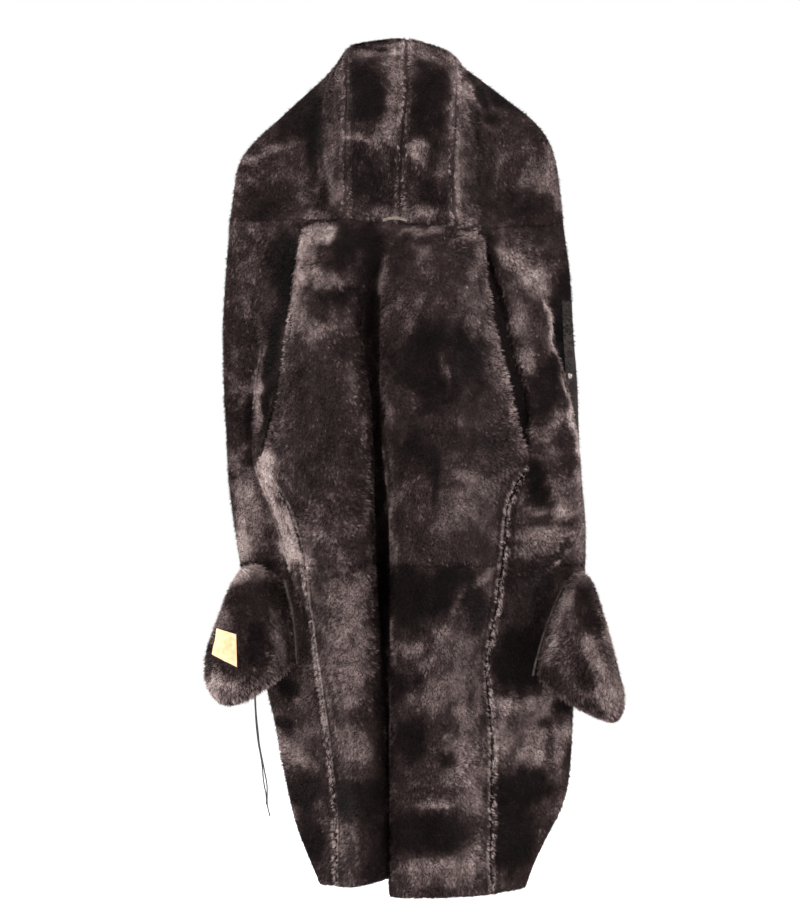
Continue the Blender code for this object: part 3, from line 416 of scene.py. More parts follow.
SHEEN_AND_SHADE_BANDS = {
    "hood": (
        (13, 0.16, ((-109, 1338), (-113, 1283), (-118, 1234))),
        (6.5, -0.24, ((-141, 1283), (-147, 1202))),
        (13, 0.2, ((91, 1324), (94, 1267), (87, 1178), (84, 1097))),
        (5.7, 0.18, ((105, 1291), (128, 1262))),
        (8.1, -0.38, ((105, 1319), (122, 1290), (141, 1254))),
        (4.9, 0.34, ((-91, 1217), (-63, 1213))),
        (6.5, 0.2, ((-267, 1181), (-232, 1199), (-178, 1217))),
        (8.1, 0.1, ((-274, 1178), (-279, 1121), (-282, 1056))),
        (9.7, 0.2, ((233, 1202), (241, 1162), (246, 1121))),
    ),
    "front": (
        (11.3, -0.42, ((-186, 1048), (-193, 975), (-209, 902), (-232, 838))),
        (11.3, -0.46, ((-251, 797), (-248, 732), (-238, 667), (-202, 578))),
        (8.1, 0.42, ((-222, 886), (-233, 854), (-241, 797), (-245, 732), (-238, 687))),
        (14.6, 0.8, ((-232, 684), (-219, 635), (-202, 590), (-183, 546))),
        (8.1, -0.3, ((-209, 910), (-215, 846), (-225, 781))),
        (14.6, 0.26, ((-206, 251), (-170, 220), (-141, 204))),
        (8.1, 0.12, ((-209, 233), (-196, 149), (-170, 68))),
        (3.2, 0.6, ((223, 958), (241, 892), (254, 842), (270, 773), (281, 736), (287, 696))),
        (6.5, -0.3, ((238, 962), (256, 892), (268, 842), (282, 775))),
        (9.7, -0.44, ((133, 1056), (144, 975), (164, 894), (180, 797))),
        (9.7, 0.26, ((282, 716), (285, 635), (284, 551))),
        (8.1, -0.38, ((202, 677), (220, 648), (233, 612))),
        (4.9, 0.28, ((188, 687), (202, 672), (212, 638))),
        (6.5, 0.2, ((274, 829), (282, 748), (285, 716))),
        (8.1, 0.14, ((254, 214), (251, 149), (232, 68))),
    ),
    "back": (
        (6.5, 0.26, ((-170, 1047), (-177, 975), (-190, 910), (-202, 846))),
        (14.6, -0.2, ((-47, 1040), (-45, 910), (-40, 716), (-34, 538))),
        (8.1, 0.14, ((-66, 765), (-60, 684), (-53, 570), (-50, 473))),
        (14.6, 0.8, ((-228, 697), (-215, 648), (-193, 586), (-167, 528))),
        (4.1, -0.26, ((-214, 676), (-183, 619), (-165, 538))),
        (4.1, -0.22, ((-134, 512), (-97, 520), (-53, 539))),
        (13, -0.18, ((-40, 538), (-36, 311), (-31, 19))),
        (9.7, 0.22, ((130, 927), (151, 878), (167, 821), (178, 765), (190, 708))),
        (8.1, 0.26, ((-34, 1024), (-37, 910), (-32, 797), (-24, 684), (-18, 538))),
        (8.1, 0.24, ((76, 470), (102, 496), (134, 520))),
        (6.5, 0.16, ((-21, 538), (-23, 311), (-24, 19))),
        (13, 0.16, ((138, 181), (141, 100), (138, 19))),
        (8.1, 0.22, ((-160, 514), (-147, 408), (-136, 311))),
    ),
    "pocket": (
        (8.1, 0.35, ((-277, 522), (-254, 528), (-232, 520))),
        (8.1, 0.28, ((-212, 444), (-202, 400), (-198, 369))),
        (6.5, 0.2, ((-267, 528), (-296, 473), (-319, 408))),
        (8.1, 0.34, ((280, 512), (258, 460), (238, 405), (232, 369))),
        (8.1, 0.24, ((321, 424), (339, 369), (350, 311))),
    ),
}

# Soft troughs (depth above 0) and ridges (below 0) pressed into the hanging cloth: where each
# starts and ends, its half width and depth.
CREASES = (
    (195, 703, 222, 600, 17, 11), (176, 650, 214, 560, 13, -6), (176, 586, 238, 570, 12, -7),
    (246, 218, 236, 150, 9, 8), (262, 230, 256, 120, 8, -6), (140, 250, 236, 262, 14, -4),
    (150, 205, 215, 216, 12, 5), (64, 180, 118, 190, 8, -4), (56, 170, 116, 180, 7, 4),
    (112, 1010, 96, 900, 10, -4), (96, 980, 84, 860, 10, 4), (58, 880, 92, 800, 12, -6),
    (-188, 690, -158, 560, 20, 6), (-150, 640, -132, 500, 16, -4), (-204, 760, -176, 690, 14, -5),
    (-106, 900, -96, 700, 26, 3), (-70, 520, -78, 300, 20, 4), (-230, 1010, -246, 860, 16, 6),
    (-262, 980, -264, 760, 14, -4), (158, 1120, 236, 1060, 16, 5), (150, 1040, 232, 930, 14, 6),
    (170, 1010, 250, 900, 12, -5), (-170, 1180, -240, 1060, 18, 5), (-150, 1100, -200, 980, 14, -4),
    (20, 480, 30, 240, 26, 4), (86, 520, 96, 330, 22, -4), (110, 130, 122, 20, 14, 5),
    (118, 1200, 132, 1090, 9, 5), (-128, 1200, -140, 1100, 9, 5),
)

MEAN_TONE = 0.50
TONE_CLOUDS: Layers = ((0.12, 90.0, 11.3), (0.14, 38.0, 22.6), (0.16, 16.0, 33.9))
ACROSS_WANDER: Layers = ((9.0, 34.0, 31.7), (4.0, 12.0, 13.3))     # patches stray from their places
HEIGHT_WANDER: Layers = ((9.0, 34.0, 5.1), (4.0, 12.0, 8.9))
PATCH_RAGGED: Layers = ((0.38, 26.0, 19.1), (0.2, 9.0, 23.7))      # and their outlines are ragged
PATCH_EDGE = (0.6, 1.32)        # a patch fades out between these shares of its half sizes
PATCH_GAIN = 1.15
RIM_HIGHLIGHT, RIM_REACH = 0.22, 13 * MM     # painted highlight: the bags' fuller rims are painted lighter, as if they catch the light


def cloud(points: np.ndarray, size_mm: float, offset: float) -> np.ndarray:
    """Read smooth noise at points.

    Args:
        points: places in metres.
        size_mm: the size of a cloud.
        offset: where in the noise it is read, so that layers differ.

    Returns:
        Values from about -1 to 1.
    """
    shift = Vector((offset, -offset, 2 * offset))
    scale = 1 / (size_mm * MM)
    return np.array([noise.noise(Vector(point) * scale + shift) for point in points])


def clouds(points: np.ndarray, layers: Layers) -> np.ndarray:
    """Add up layers of smooth noise at points."""
    return sum(strength * cloud(points, size_mm, offset) for strength, size_mm, offset in layers)


def drift(points: np.ndarray, size_mm: float, offsets: tuple[float, float, float]) -> np.ndarray:
    """Read smooth noise at points as one vector each."""
    return np.stack([cloud(points, size_mm, offset) for offset in offsets], axis=1)


def fade(values: np.ndarray, full: float, none: float) -> np.ndarray:
    """Ease from 1 at one value to 0 at another.

    Args:
        values: what is eased.
        full: the value that gives 1.
        none: the value that gives 0.

    Returns:
        Shares from 0 to 1.
    """
    share = np.clip((none - values) / (none - full), 0.0, 1.0)
    return share * share * (3 - 2 * share)


def bell(distance: np.ndarray, reach: float) -> np.ndarray:
    """Fall smoothly from 1 at no distance towards 0 past a reach."""
    return np.exp(-(distance / reach) ** 2)


def from_line(across: np.ndarray, height: np.ndarray, spots: Line) -> np.ndarray:
    """Measure how far points are from a broken line.

    Args:
        across: the points' x in millimetres.
        height: their heights above the hem.
        spots: the line's own points.

    Returns:
        Distances in millimetres.
    """
    nearest = np.full(len(across), np.inf)
    for (x0, h0), (x1, h1) in zip(spots, spots[1:]):
        run_x, run_h = x1 - x0, h1 - h0
        share = ((across - x0) * run_x + (height - h0) * run_h) / (run_x ** 2 + run_h ** 2)
        share = np.clip(share, 0.0, 1.0)
        off = np.hypot(across - x0 - share * run_x, height - h0 - share * run_h)
        nearest = np.minimum(nearest, off)
    return nearest


def tones(points: np.ndarray, kind: str) -> np.ndarray:
    """Work out the pile's tone at points: random clouds, with painted sheen and shade in patches
    and bands.

    Args:
        points: places in metres.
        kind: the kind of skin, as in SHEEN_AND_SHADE_PATCHES.

    Returns:
        Tones, about 0 for the darkest and 1 for the palest.
    """
    tone = MEAN_TONE + clouds(points, TONE_CLOUDS)
    across = points[:, 0] / MM + clouds(points, ACROSS_WANDER)
    height = heights(points) + clouds(points, HEIGHT_WANDER)
    ragged = clouds(points, PATCH_RAGGED)
    for x, level, wide, tall, lean, shift in SHEEN_AND_SHADE_PATCHES.get(kind, ()):
        turn = math.radians(lean)
        dx, dh = across - x, height - level
        along = (dx * math.cos(turn) + dh * math.sin(turn)) / wide
        up = (dh * math.cos(turn) - dx * math.sin(turn)) / tall
        tone += PATCH_GAIN * shift * fade(np.hypot(along, up) + ragged, *PATCH_EDGE)
    for half, shift, spots in SHEEN_AND_SHADE_BANDS.get(kind, ()):
        tone += shift * bell(from_line(across, height, spots), half)
    return tone


def pressed(points: np.ndarray) -> np.ndarray:
    """Work out how far the creases push the cloth away from its fur side.

    Args:
        points: places in metres.

    Returns:
        Distances along +Y in metres.
    """
    across, height = points[:, 0] / MM, heights(points)
    push = np.zeros(len(points))
    for x0, h0, x1, h1, half, depth in CREASES:
        run_x, run_h = x1 - x0, h1 - h0
        length = math.hypot(run_x, run_h)
        share = ((across - x0) * run_x + (height - h0) * run_h) / length ** 2
        aside = ((across - x0) * run_h - (height - h0) * run_x) / length
        taper = np.clip(np.sin(np.clip(share, 0.0, 1.0) * math.pi), 0.0, 1.0)
        push += depth * MM * taper * bell(aside, half)
    return push


# ---------------------------------------------------------------- the pile's node tree

# Four numbers ease a value from the third to the fourth while a distance grows from the first to
# the second; two numbers scale a noise of 0 to 1 and add to it.
CLUMP_SWIRL, TUFT_TURN, STRAY_TURN = 3.2, 1.6, 0.55     # how far clumps, tufts and fibres turn
CLUMP_RISE, TUFT_RISE = (0.7, 0.65), (0.9, 0.55)        # how their heights differ
CLUMP_TONE, TUFT_TONE = 0.3, 0.8                        # and their tones
CRIMP_MM, CRIMP_SPREAD_MM = 7.0, 50.0   # clipped wool cracks into cells, more in some places
CRIMP_WARP, CRIMP_UPRIGHT = 3 * MM, (1.0, 1.0, 0.62)    # that are uneven, and taller than wide
CRIMP_EDGE, CRIMP_SHARE = (0.02, 0.2, 1.0, 0.0), (0.36, 0.6, 0.3, 1.0)
# the cracks are painted darker, as painted shade in them, and their fibres drop shorter
CRIMP_AT_SEAM, CRIMP_PAINTED_SHADE, CRIMP_DROP = 0.8, 0.5, 0.6
SEAM_RUFFLE = (3 * MM, 15 * MM, 1.0, 0.0)       # beside a seam the pile is disturbed: looser,
SEAM_LOOSE, SEAM_TALLER, SEAM_HIGHLIGHT = 0.75, 0.2, 0.25        # a little taller, and painted paler (painted highlight)
SEAM_RIDGE_HIGHLIGHT = (7.5 * MM, 12.0 * MM, 0.26, 0.0)   # most of all on the ridge right beside it (painted highlight)
SEAM_PAINTED_SHADES = ((1.6 * MM, 3.8 * MM, -0.6, 0.0), (11 * MM, 13.5 * MM, 0.0, -0.18),
               (15 * MM, 20 * MM, 0.0, 0.18))   # and painted darker in its slit and behind the ridge (painted shade)
SEAM_LEAN = (0.0, 6 * MM, 0.9, 0.0)             # it leans away from the seam
SEAM_BARE = (0.9 * MM, 4.6 * MM, 0.0, 1.0)      # there is none on its line: a dark slit
TRIM_BARE = (0.4 * MM, 6.0 * MM, 0.0, 1.0)      # it is pressed short beside edges and the label
LEAST_STANDING = 0.12                           # fibres shorter than this share are left out
LADDER_MM, LADDER_UPRIGHT = 4.0, (1.0, 1.0, 0.45)       # stitching gathers it into wrinkles
# the wrinkles' raised rungs are painted lighter and the sunk ones darker (painted light and shade),
# and they stand taller
LADDER_PAINTED_LIGHT, LADDER_RISE = 0.85, 1.2
SPREADS = {"spin": (-0.7, 0.7), "tall": (0.62, 1.15), "wide": (0.75, 1.25), "tone": (-0.05, 0.07)}
WRITTEN = {"tone": "FLOAT", "cover": "FLOAT", "furry": "FLOAT", "reach": "FLOAT", "pale": "FLOAT",
           "lay": "FLOAT_VECTOR"}               # what each skin's mesh says of its pile

MATH, VECTOR, EASE = "ShaderNodeMath", "ShaderNodeVectorMath", "ShaderNodeMapRange"
NOISE, STORE = "ShaderNodeTexNoise", "GeometryNodeStoreNamedAttribute"
PLUS, LESS, TIMES, TIMES_PLUS, SCALED, UNIT, MORE = ({"operation": name} for name in (
    "ADD", "SUBTRACT", "MULTIPLY", "MULTIPLY_ADD", "SCALE", "NORMALIZE", "GREATER_THAN"))
SMOOTH = {"interpolation_type": "SMOOTHSTEP"}
ON_POINTS = {"data_type": "FLOAT", "domain": "POINT"}


class PileTree:
    """The Geometry Nodes tree that grows a pile of fibres on the furry faces of a skin."""

    def __init__(self) -> None:
        """Build the tree with its named inputs."""
        self.tree = bpy.data.node_groups.new("pile", "GeometryNodeTree")
        self.sockets: dict[str, str] = {}
        self._interface()
        self.given = add_node(self.tree, "NodeGroupInput")
        self.at_root: dict[str, bpy.types.NodeSocket] = {}
        self._read_skin()
        self._measure()
        self._grow()

    def _interface(self) -> None:
        """Name the tree's inputs and output."""
        made = self.tree.interface
        made.new_socket("Geometry", in_out="OUTPUT", socket_type="NodeSocketGeometry")
        numbers = ("Fibres per square metre", "Fibre length", "Fibre width", "Lean", "Disorder",
                   "Clump size", "Tuft size")
        kinds = {"Geometry": "Geometry", **dict.fromkeys(numbers, "Float"), "Seed": "Int",
                 "Finish": "Material", "Seams": "Object", "Trims": "Object"}
        for name, kind in kinds.items():
            socket = made.new_socket(name, in_out="INPUT", socket_type=f"NodeSocket{kind}")
            self.sockets[name] = socket.identifier

    def _put(self, kind: str, settings: dict | None, *values: object,
             key: str | int = 0) -> bpy.types.NodeSocket:
        """Add a node to the tree by its inputs' order.

        Args:
            kind: the node's type.
            settings: the node's own properties.
            values: its inputs in order.
            key: the output's index or name.

        Returns:
            That output.
        """
        return out(add_node(self.tree, kind, settings, dict(enumerate(values))), key)

    def _scaled(self, vector: bpy.types.NodeSocket, share: object) -> bpy.types.NodeSocket:
        """Make a vector longer or shorter."""
        return out(add_node(self.tree, VECTOR, SCALED, {0: vector, "Scale": share}))

    def _fibre(self) -> bpy.types.NodeSocket:
        """Make one fibre: a flat triangle along +X with "tip" running from 0 to 1.

        Returns:
            The fibre's geometry.
        """
        disc = add_node(self.tree, "GeometryNodeMeshCircle", {"fill_type": "NGON"},
                        {"Vertices": 3, "Radius": 1.0})
        moved = add_node(self.tree, "GeometryNodeTransform", None, {
            "Geometry": out(disc), "Translation": (1 / 3, 0.0, 0.0),
            "Scale": (2 / 3, 1 / math.sqrt(3), 1.0)})
        along = self._put("ShaderNodeSeparateXYZ", None, self.at_root["where"])
        return out(add_node(self.tree, STORE, ON_POINTS, {
            "Geometry": out(moved), "Name": "tip", "Value": along}))

    def _read_skin(self) -> None:
        """Read what the skin says of its pile, and draw what differs from fibre to fibre."""
        at_root = self.at_root
        at_root["where"] = out(add_node(self.tree, "GeometryNodeInputPosition"))
        for name, kind in WRITTEN.items():
            at_root[name] = self._put("GeometryNodeInputNamedAttribute", {"data_type": kind}, name,
                                      key="Attribute")
        at_root["stray"] = out(add_node(self.tree, "FunctionNodeRandomValue", {
            "data_type": "FLOAT_VECTOR"}, {0: (-1.0,) * 3, 1: (1.0,) * 3, 8: 1}), 0)
        for seed, (name, (low, high)) in enumerate(SPREADS.items(), 2):
            at_root[f"any {name}"] = out(add_node(self.tree, "FunctionNodeRandomValue", {
                "data_type": "FLOAT"}, {2: low, 3: high, 8: seed}), 1)
        for name, detail in (("Clump", 2.0), ("Tuft", 1.0)):
            scale = self._put(MATH, {"operation": "DIVIDE"}, 1.0, out(self.given, f"{name} size"))
            node = add_node(self.tree, NOISE, None, {
                "Vector": at_root["where"], "Scale": scale, "Detail": detail})
            at_root[name], at_root[f"{name} colour"] = out(node), out(node, "Color")

    def _measure(self) -> None:
        """Work out how far seams and trims are, and what that does to the pile."""
        at_root, where = self.at_root, self.at_root["where"]
        for name, element in (("Seams", "EDGES"), ("Trims", "FACES")):
            shape = add_node(self.tree, "GeometryNodeObjectInfo", {"transform_space": "ORIGINAL"},
                             {"Object": out(self.given, name)})
            near = add_node(self.tree, "GeometryNodeProximity", {"target_element": element},
                            {0: out(shape, "Geometry")})
            missing = self._put(MATH, LESS, 1.0, out(near, "Is Valid"))     # far if there is none
            at_root[name] = self._put(MATH, PLUS, out(near, "Distance"), missing)
            at_root[f"{name} spot"] = out(near, "Position")
        seam = at_root["Seams"]
        ruffled = at_root["ruffled"] = self._put(EASE, SMOOTH, seam, *SEAM_RUFFLE)
        at_root["standing"] = self._put(MATH, TIMES, self._put(EASE, SMOOTH, seam, *SEAM_BARE),
                                        self._put(EASE, SMOOTH, at_root["Trims"], *TRIM_BARE))
        cell = self._put(VECTOR, PLUS, where, self._scaled(at_root["Tuft colour"], CRIMP_WARP))
        cell = add_node(self.tree, "ShaderNodeTexVoronoi", {"feature": "DISTANCE_TO_EDGE"}, {
            "Vector": self._put(VECTOR, TIMES, cell, CRIMP_UPRIGHT), "Scale": 1 / (CRIMP_MM * MM)})
        spread = add_node(self.tree, NOISE, None, {
            "Vector": where, "Scale": 1 / (CRIMP_SPREAD_MM * MM), "Detail": 1.0})
        crack = self._put(MATH, TIMES, self._put(EASE, SMOOTH, out(cell, "Distance"), *CRIMP_EDGE),
                          self._put(EASE, SMOOTH, out(spread), *CRIMP_SHARE))
        at_root["crack"] = self._put(MATH, TIMES, crack,
                                     self._put(MATH, TIMES_PLUS, ruffled, CRIMP_AT_SEAM, 1.0))
        rung = out(add_node(self.tree, NOISE, None, {
            "Vector": self._put(VECTOR, TIMES, where, LADDER_UPRIGHT),
            "Scale": 1 / (LADDER_MM * MM), "Detail": 1.0}))
        at_root["rung"] = self._put(MATH, TIMES, self._put(MATH, LESS, rung, 0.5), ruffled)

    def _turn(self, normal: bpy.types.NodeSocket) -> bpy.types.NodeSocket:
        """Aim each fibre: out of the skin, along its lay, off the seams and turned in clumps.

        Args:
            normal: which way the skin faces.

        Returns:
            The fibres' rotations.
        """
        at_root, disorder = self.at_root, out(self.given, "Disorder")
        middle = (0.5, 0.5, 0.5)
        swirl, curl = (self._scaled(self._put(VECTOR, LESS, at_root[f"{name} colour"], middle),
                                    self._put(MATH, TIMES, disorder, turn))
                       for name, turn in (("Clump", CLUMP_SWIRL), ("Tuft", TUFT_TURN)))
        loose = self._put(MATH, TIMES_PLUS, at_root["ruffled"], SEAM_LOOSE, disorder)
        stray = self._scaled(at_root["stray"], self._put(MATH, TIMES, loose, STRAY_TURN))
        aside = self._put(VECTOR, UNIT, self._put(VECTOR, LESS, at_root["where"],
                                                  at_root["Seams spot"]))
        aside = self._scaled(aside, self._put(EASE, SMOOTH, at_root["Seams"], *SEAM_LEAN))
        lying = self._scaled(at_root["lay"], out(self.given, "Lean"))
        lying = self._put(VECTOR, PLUS, lying, aside)
        aim = self._put(VECTOR, PLUS, self._put(VECTOR, PLUS, normal, lying),
                        self._put(VECTOR, PLUS, self._put(VECTOR, PLUS, swirl, curl), stray))
        along = add_node(self.tree, "FunctionNodeAlignRotationToVector", {"axis": "X"},
                         {"Vector": aim})
        facing = add_node(self.tree, "FunctionNodeAlignRotationToVector",
                          {"axis": "Z", "pivot_axis": "X"},
                          {"Rotation": out(along), "Vector": normal})
        spin = self._put("ShaderNodeCombineXYZ", None, at_root["any spin"])
        return out(add_node(self.tree, "FunctionNodeRotateRotation", {"rotation_space": "LOCAL"},
                            {"Rotation": out(facing), "Rotate By": spin}))

    def _size(self) -> bpy.types.NodeSocket:
        """Size each fibre: cropped in tufts, cracks and seams, longer where the skin says so.

        Returns:
            The fibres' scales.
        """
        at_root = self.at_root
        tall = self._put(MATH, TIMES, out(self.given, "Fibre length"), at_root["any tall"])
        for source, gain, rest in (
                (at_root["Clump"], *CLUMP_RISE), (at_root["Tuft"], *TUFT_RISE),
                (at_root["ruffled"], SEAM_TALLER, at_root["standing"]),
                (at_root["crack"], -CRIMP_DROP, at_root["reach"]),
                (at_root["rung"], LADDER_RISE, 1.0)):
            tall = self._put(MATH, TIMES, tall, self._put(MATH, TIMES_PLUS, source, gain, rest))
        wide = self._put(MATH, TIMES, out(self.given, "Fibre width"), at_root["any wide"])
        return self._put("ShaderNodeCombineXYZ", None, tall, wide, 1.0)

    def _toned(self) -> bpy.types.NodeSocket:
        """Tone each fibre: by the skin, its clump and tuft, painted shade in the cracks, and
        painted highlight and shade by a seam.

        Returns:
            The fibres' tones.
        """
        at_root = self.at_root
        tone = self._put(MATH, PLUS, at_root["tone"], at_root["any tone"])
        tone = self._put(MATH, TIMES_PLUS, at_root["crack"], -CRIMP_PAINTED_SHADE, tone)
        for name, gain in (("Clump", CLUMP_TONE), ("Tuft", TUFT_TONE)):
            off = self._put(MATH, LESS, at_root[name], 0.5)
            tone = self._put(MATH, TIMES_PLUS, off, gain, tone)
        # painted highlight beside a seam; painted shade in its slit and behind the ridge follows
        pale = self._put(MATH, TIMES_PLUS, at_root["ruffled"], SEAM_HIGHLIGHT,
                         self._put(EASE, SMOOTH, at_root["Seams"], *SEAM_RIDGE_HIGHLIGHT))
        tone = self._put(MATH, TIMES_PLUS, pale, at_root["pale"], tone)
        tone = self._put(MATH, TIMES_PLUS, at_root["rung"], LADDER_PAINTED_LIGHT, tone)
        for shade in SEAM_PAINTED_SHADES:
            tone = self._put(MATH, PLUS, tone, self._put(EASE, SMOOTH, at_root["Seams"], *shade))
        return tone

    def _grow(self) -> None:
        """Scatter the fibres, aim, size and tone them, and make them one mesh."""
        tree, at_root = self.tree, self.at_root
        density = self._put(MATH, TIMES, out(self.given, "Fibres per square metre"),
                            at_root["cover"])
        points = add_node(tree, "GeometryNodeDistributePointsOnFaces",
                          {"distribute_method": "RANDOM"}, {
                              "Mesh": out(self.given, "Geometry"), "Selection": at_root["furry"],
                              "Density": density, "Seed": out(self.given, "Seed")})
        toned = add_node(tree, STORE, ON_POINTS, {
            "Geometry": out(points, "Points"), "Name": "tone", "Value": self._toned()})
        fibres = add_node(tree, "GeometryNodeInstanceOnPoints", None, {
            "Points": out(toned),
            "Selection": self._put(MATH, MORE, at_root["standing"], LEAST_STANDING),
            "Instance": self._fibre(), "Rotation": self._turn(out(points, "Normal")),
            "Scale": self._size()})
        real = add_node(tree, "GeometryNodeRealizeInstances", None, {"Geometry": out(fibres)})
        finished = add_node(tree, "GeometryNodeSetMaterial", None, {
            "Geometry": out(real), "Material": out(self.given, "Finish")})
        tree.links.new(out(finished), add_node(tree, "NodeGroupOutput").inputs[0])

    def grow(self, skin: bpy.types.Object, name: str,
             values: dict[str, object]) -> bpy.types.Object:
        """Grow a pile on a skin as a plain mesh of its own.

        Args:
            skin: the skin, with all that WRITTEN names on its mesh.
            name: the pile's name.
            values: the tree's inputs by name.

        Returns:
            The pile's object, at the origin.
        """
        carrier = add_object(name, skin.data.copy())
        modifier = carrier.modifiers.new("pile", "NODES")
        modifier.node_group = self.tree
        for key, value in values.items():
            modifier[self.sockets[key]] = value
        mesh = evaluated_mesh(carrier)
        carrier.modifiers.remove(modifier)
        for spare in WRITTEN:
            if spare != "tone" and spare in mesh.attributes:
                mesh.attributes.remove(mesh.attributes[spare])
        carrier.data = mesh
        mesh.name = name
        return carrier


def evaluated_mesh(made: bpy.types.Object) -> bpy.types.Mesh:
    """Turn an object with its modifiers into a plain mesh."""
    graph = bpy.context.evaluated_depsgraph_get()
    return bpy.data.meshes.new_from_object(made.evaluated_get(graph), depsgraph=graph)


# ---------------------------------------------------------------- skins

WELD = 0.02 * MM
JOIN_ANGLE = math.radians(40)
JOIN_SHAPE = math.radians(70)
FUR, LEATHER, EDGE = 0, 1, 2    # material slots of a skin, and the faces that wear them
JOIN_REACH = 6 * MM             # skins this close are sewn together
SEAM_LAP, SEAM_CLOSE_REACH = 0.3 * MM, 4 * MM       # stitches pull the two cut edges together
LEAST_GAP = 0.1 * MM
SEAM_VALLEY, SEAM_VALLEY_REACH = 2.6 * MM, 6 * MM   # and press a shallow valley into the skins
SEAM_WANDER: Layers = ((1.8 * MM, 9.0, 61.0), (1.08 * MM, 4.0, 71.0))    # the pile parts unevenly
BARE_EDGE = 0.5                 # a cut edge is bare of pile where its seam shows more than this
ROOT_DIM, ROOT_DIM_REACH = 0.5, 5 * MM    # between the parted pile the skin lies in its shade
SWAY, SWAY_SIZE_MM, SWAY_OFFSETS = 2.0 * MM, 110.0, (3.7, 21.9, 40.3)   # hides are never quite even
LAY_TURN, LAY_SIZE_MM, LAY_OFFSETS = 1.5, 75.0, (7.7, 17.3, 29.9)       # nor does wool lie straight
ARMHOLES = ((-235, -170, 730, 950), (130, 215, 690, 1055))     # x and height of the sleeves' seams
ARMHOLE_REACH, ARMHOLE_SPREAD = 9 * MM, 1.5 * MM    # there the pile spills over the border
ARMHOLE_LONGER, ARMHOLE_LEAN = 0.2, 2.8
FOLD_MM = (-95, 45)             # x of the centre fold of the back, where its seam is out of sight
FOLD_MIDDLE_MM, FOLD_HALF_MM, FOLD_DEPTH_MM, FOLD_COVER = -33, 60, -40, 0.35     # little pile shows
SLEEVE_HIDDEN_MM, SLEEVE_EASE_MM, SLEEVE_COVER = 640, 60, 0.12      # nor below a sleeve's opening
CUFF_MM, CUFF_COVER = 430, 0.8


class FurSide(Enum):
    """Which face of a solid carries the fur."""

    VIEWER = "the sheet's face towards -Y"
    AWAY = "the sheet's face towards +Y"
    OUTER = "the outside of a tube"
    INNER = "the inside of a tube"


def read(items: bpy.types.bpy_prop_collection, key: str) -> np.ndarray:
    """Read a vector of every item into rows."""
    values = np.empty(len(items) * 3)
    items.foreach_get(key, values)
    return values.reshape(-1, 3)


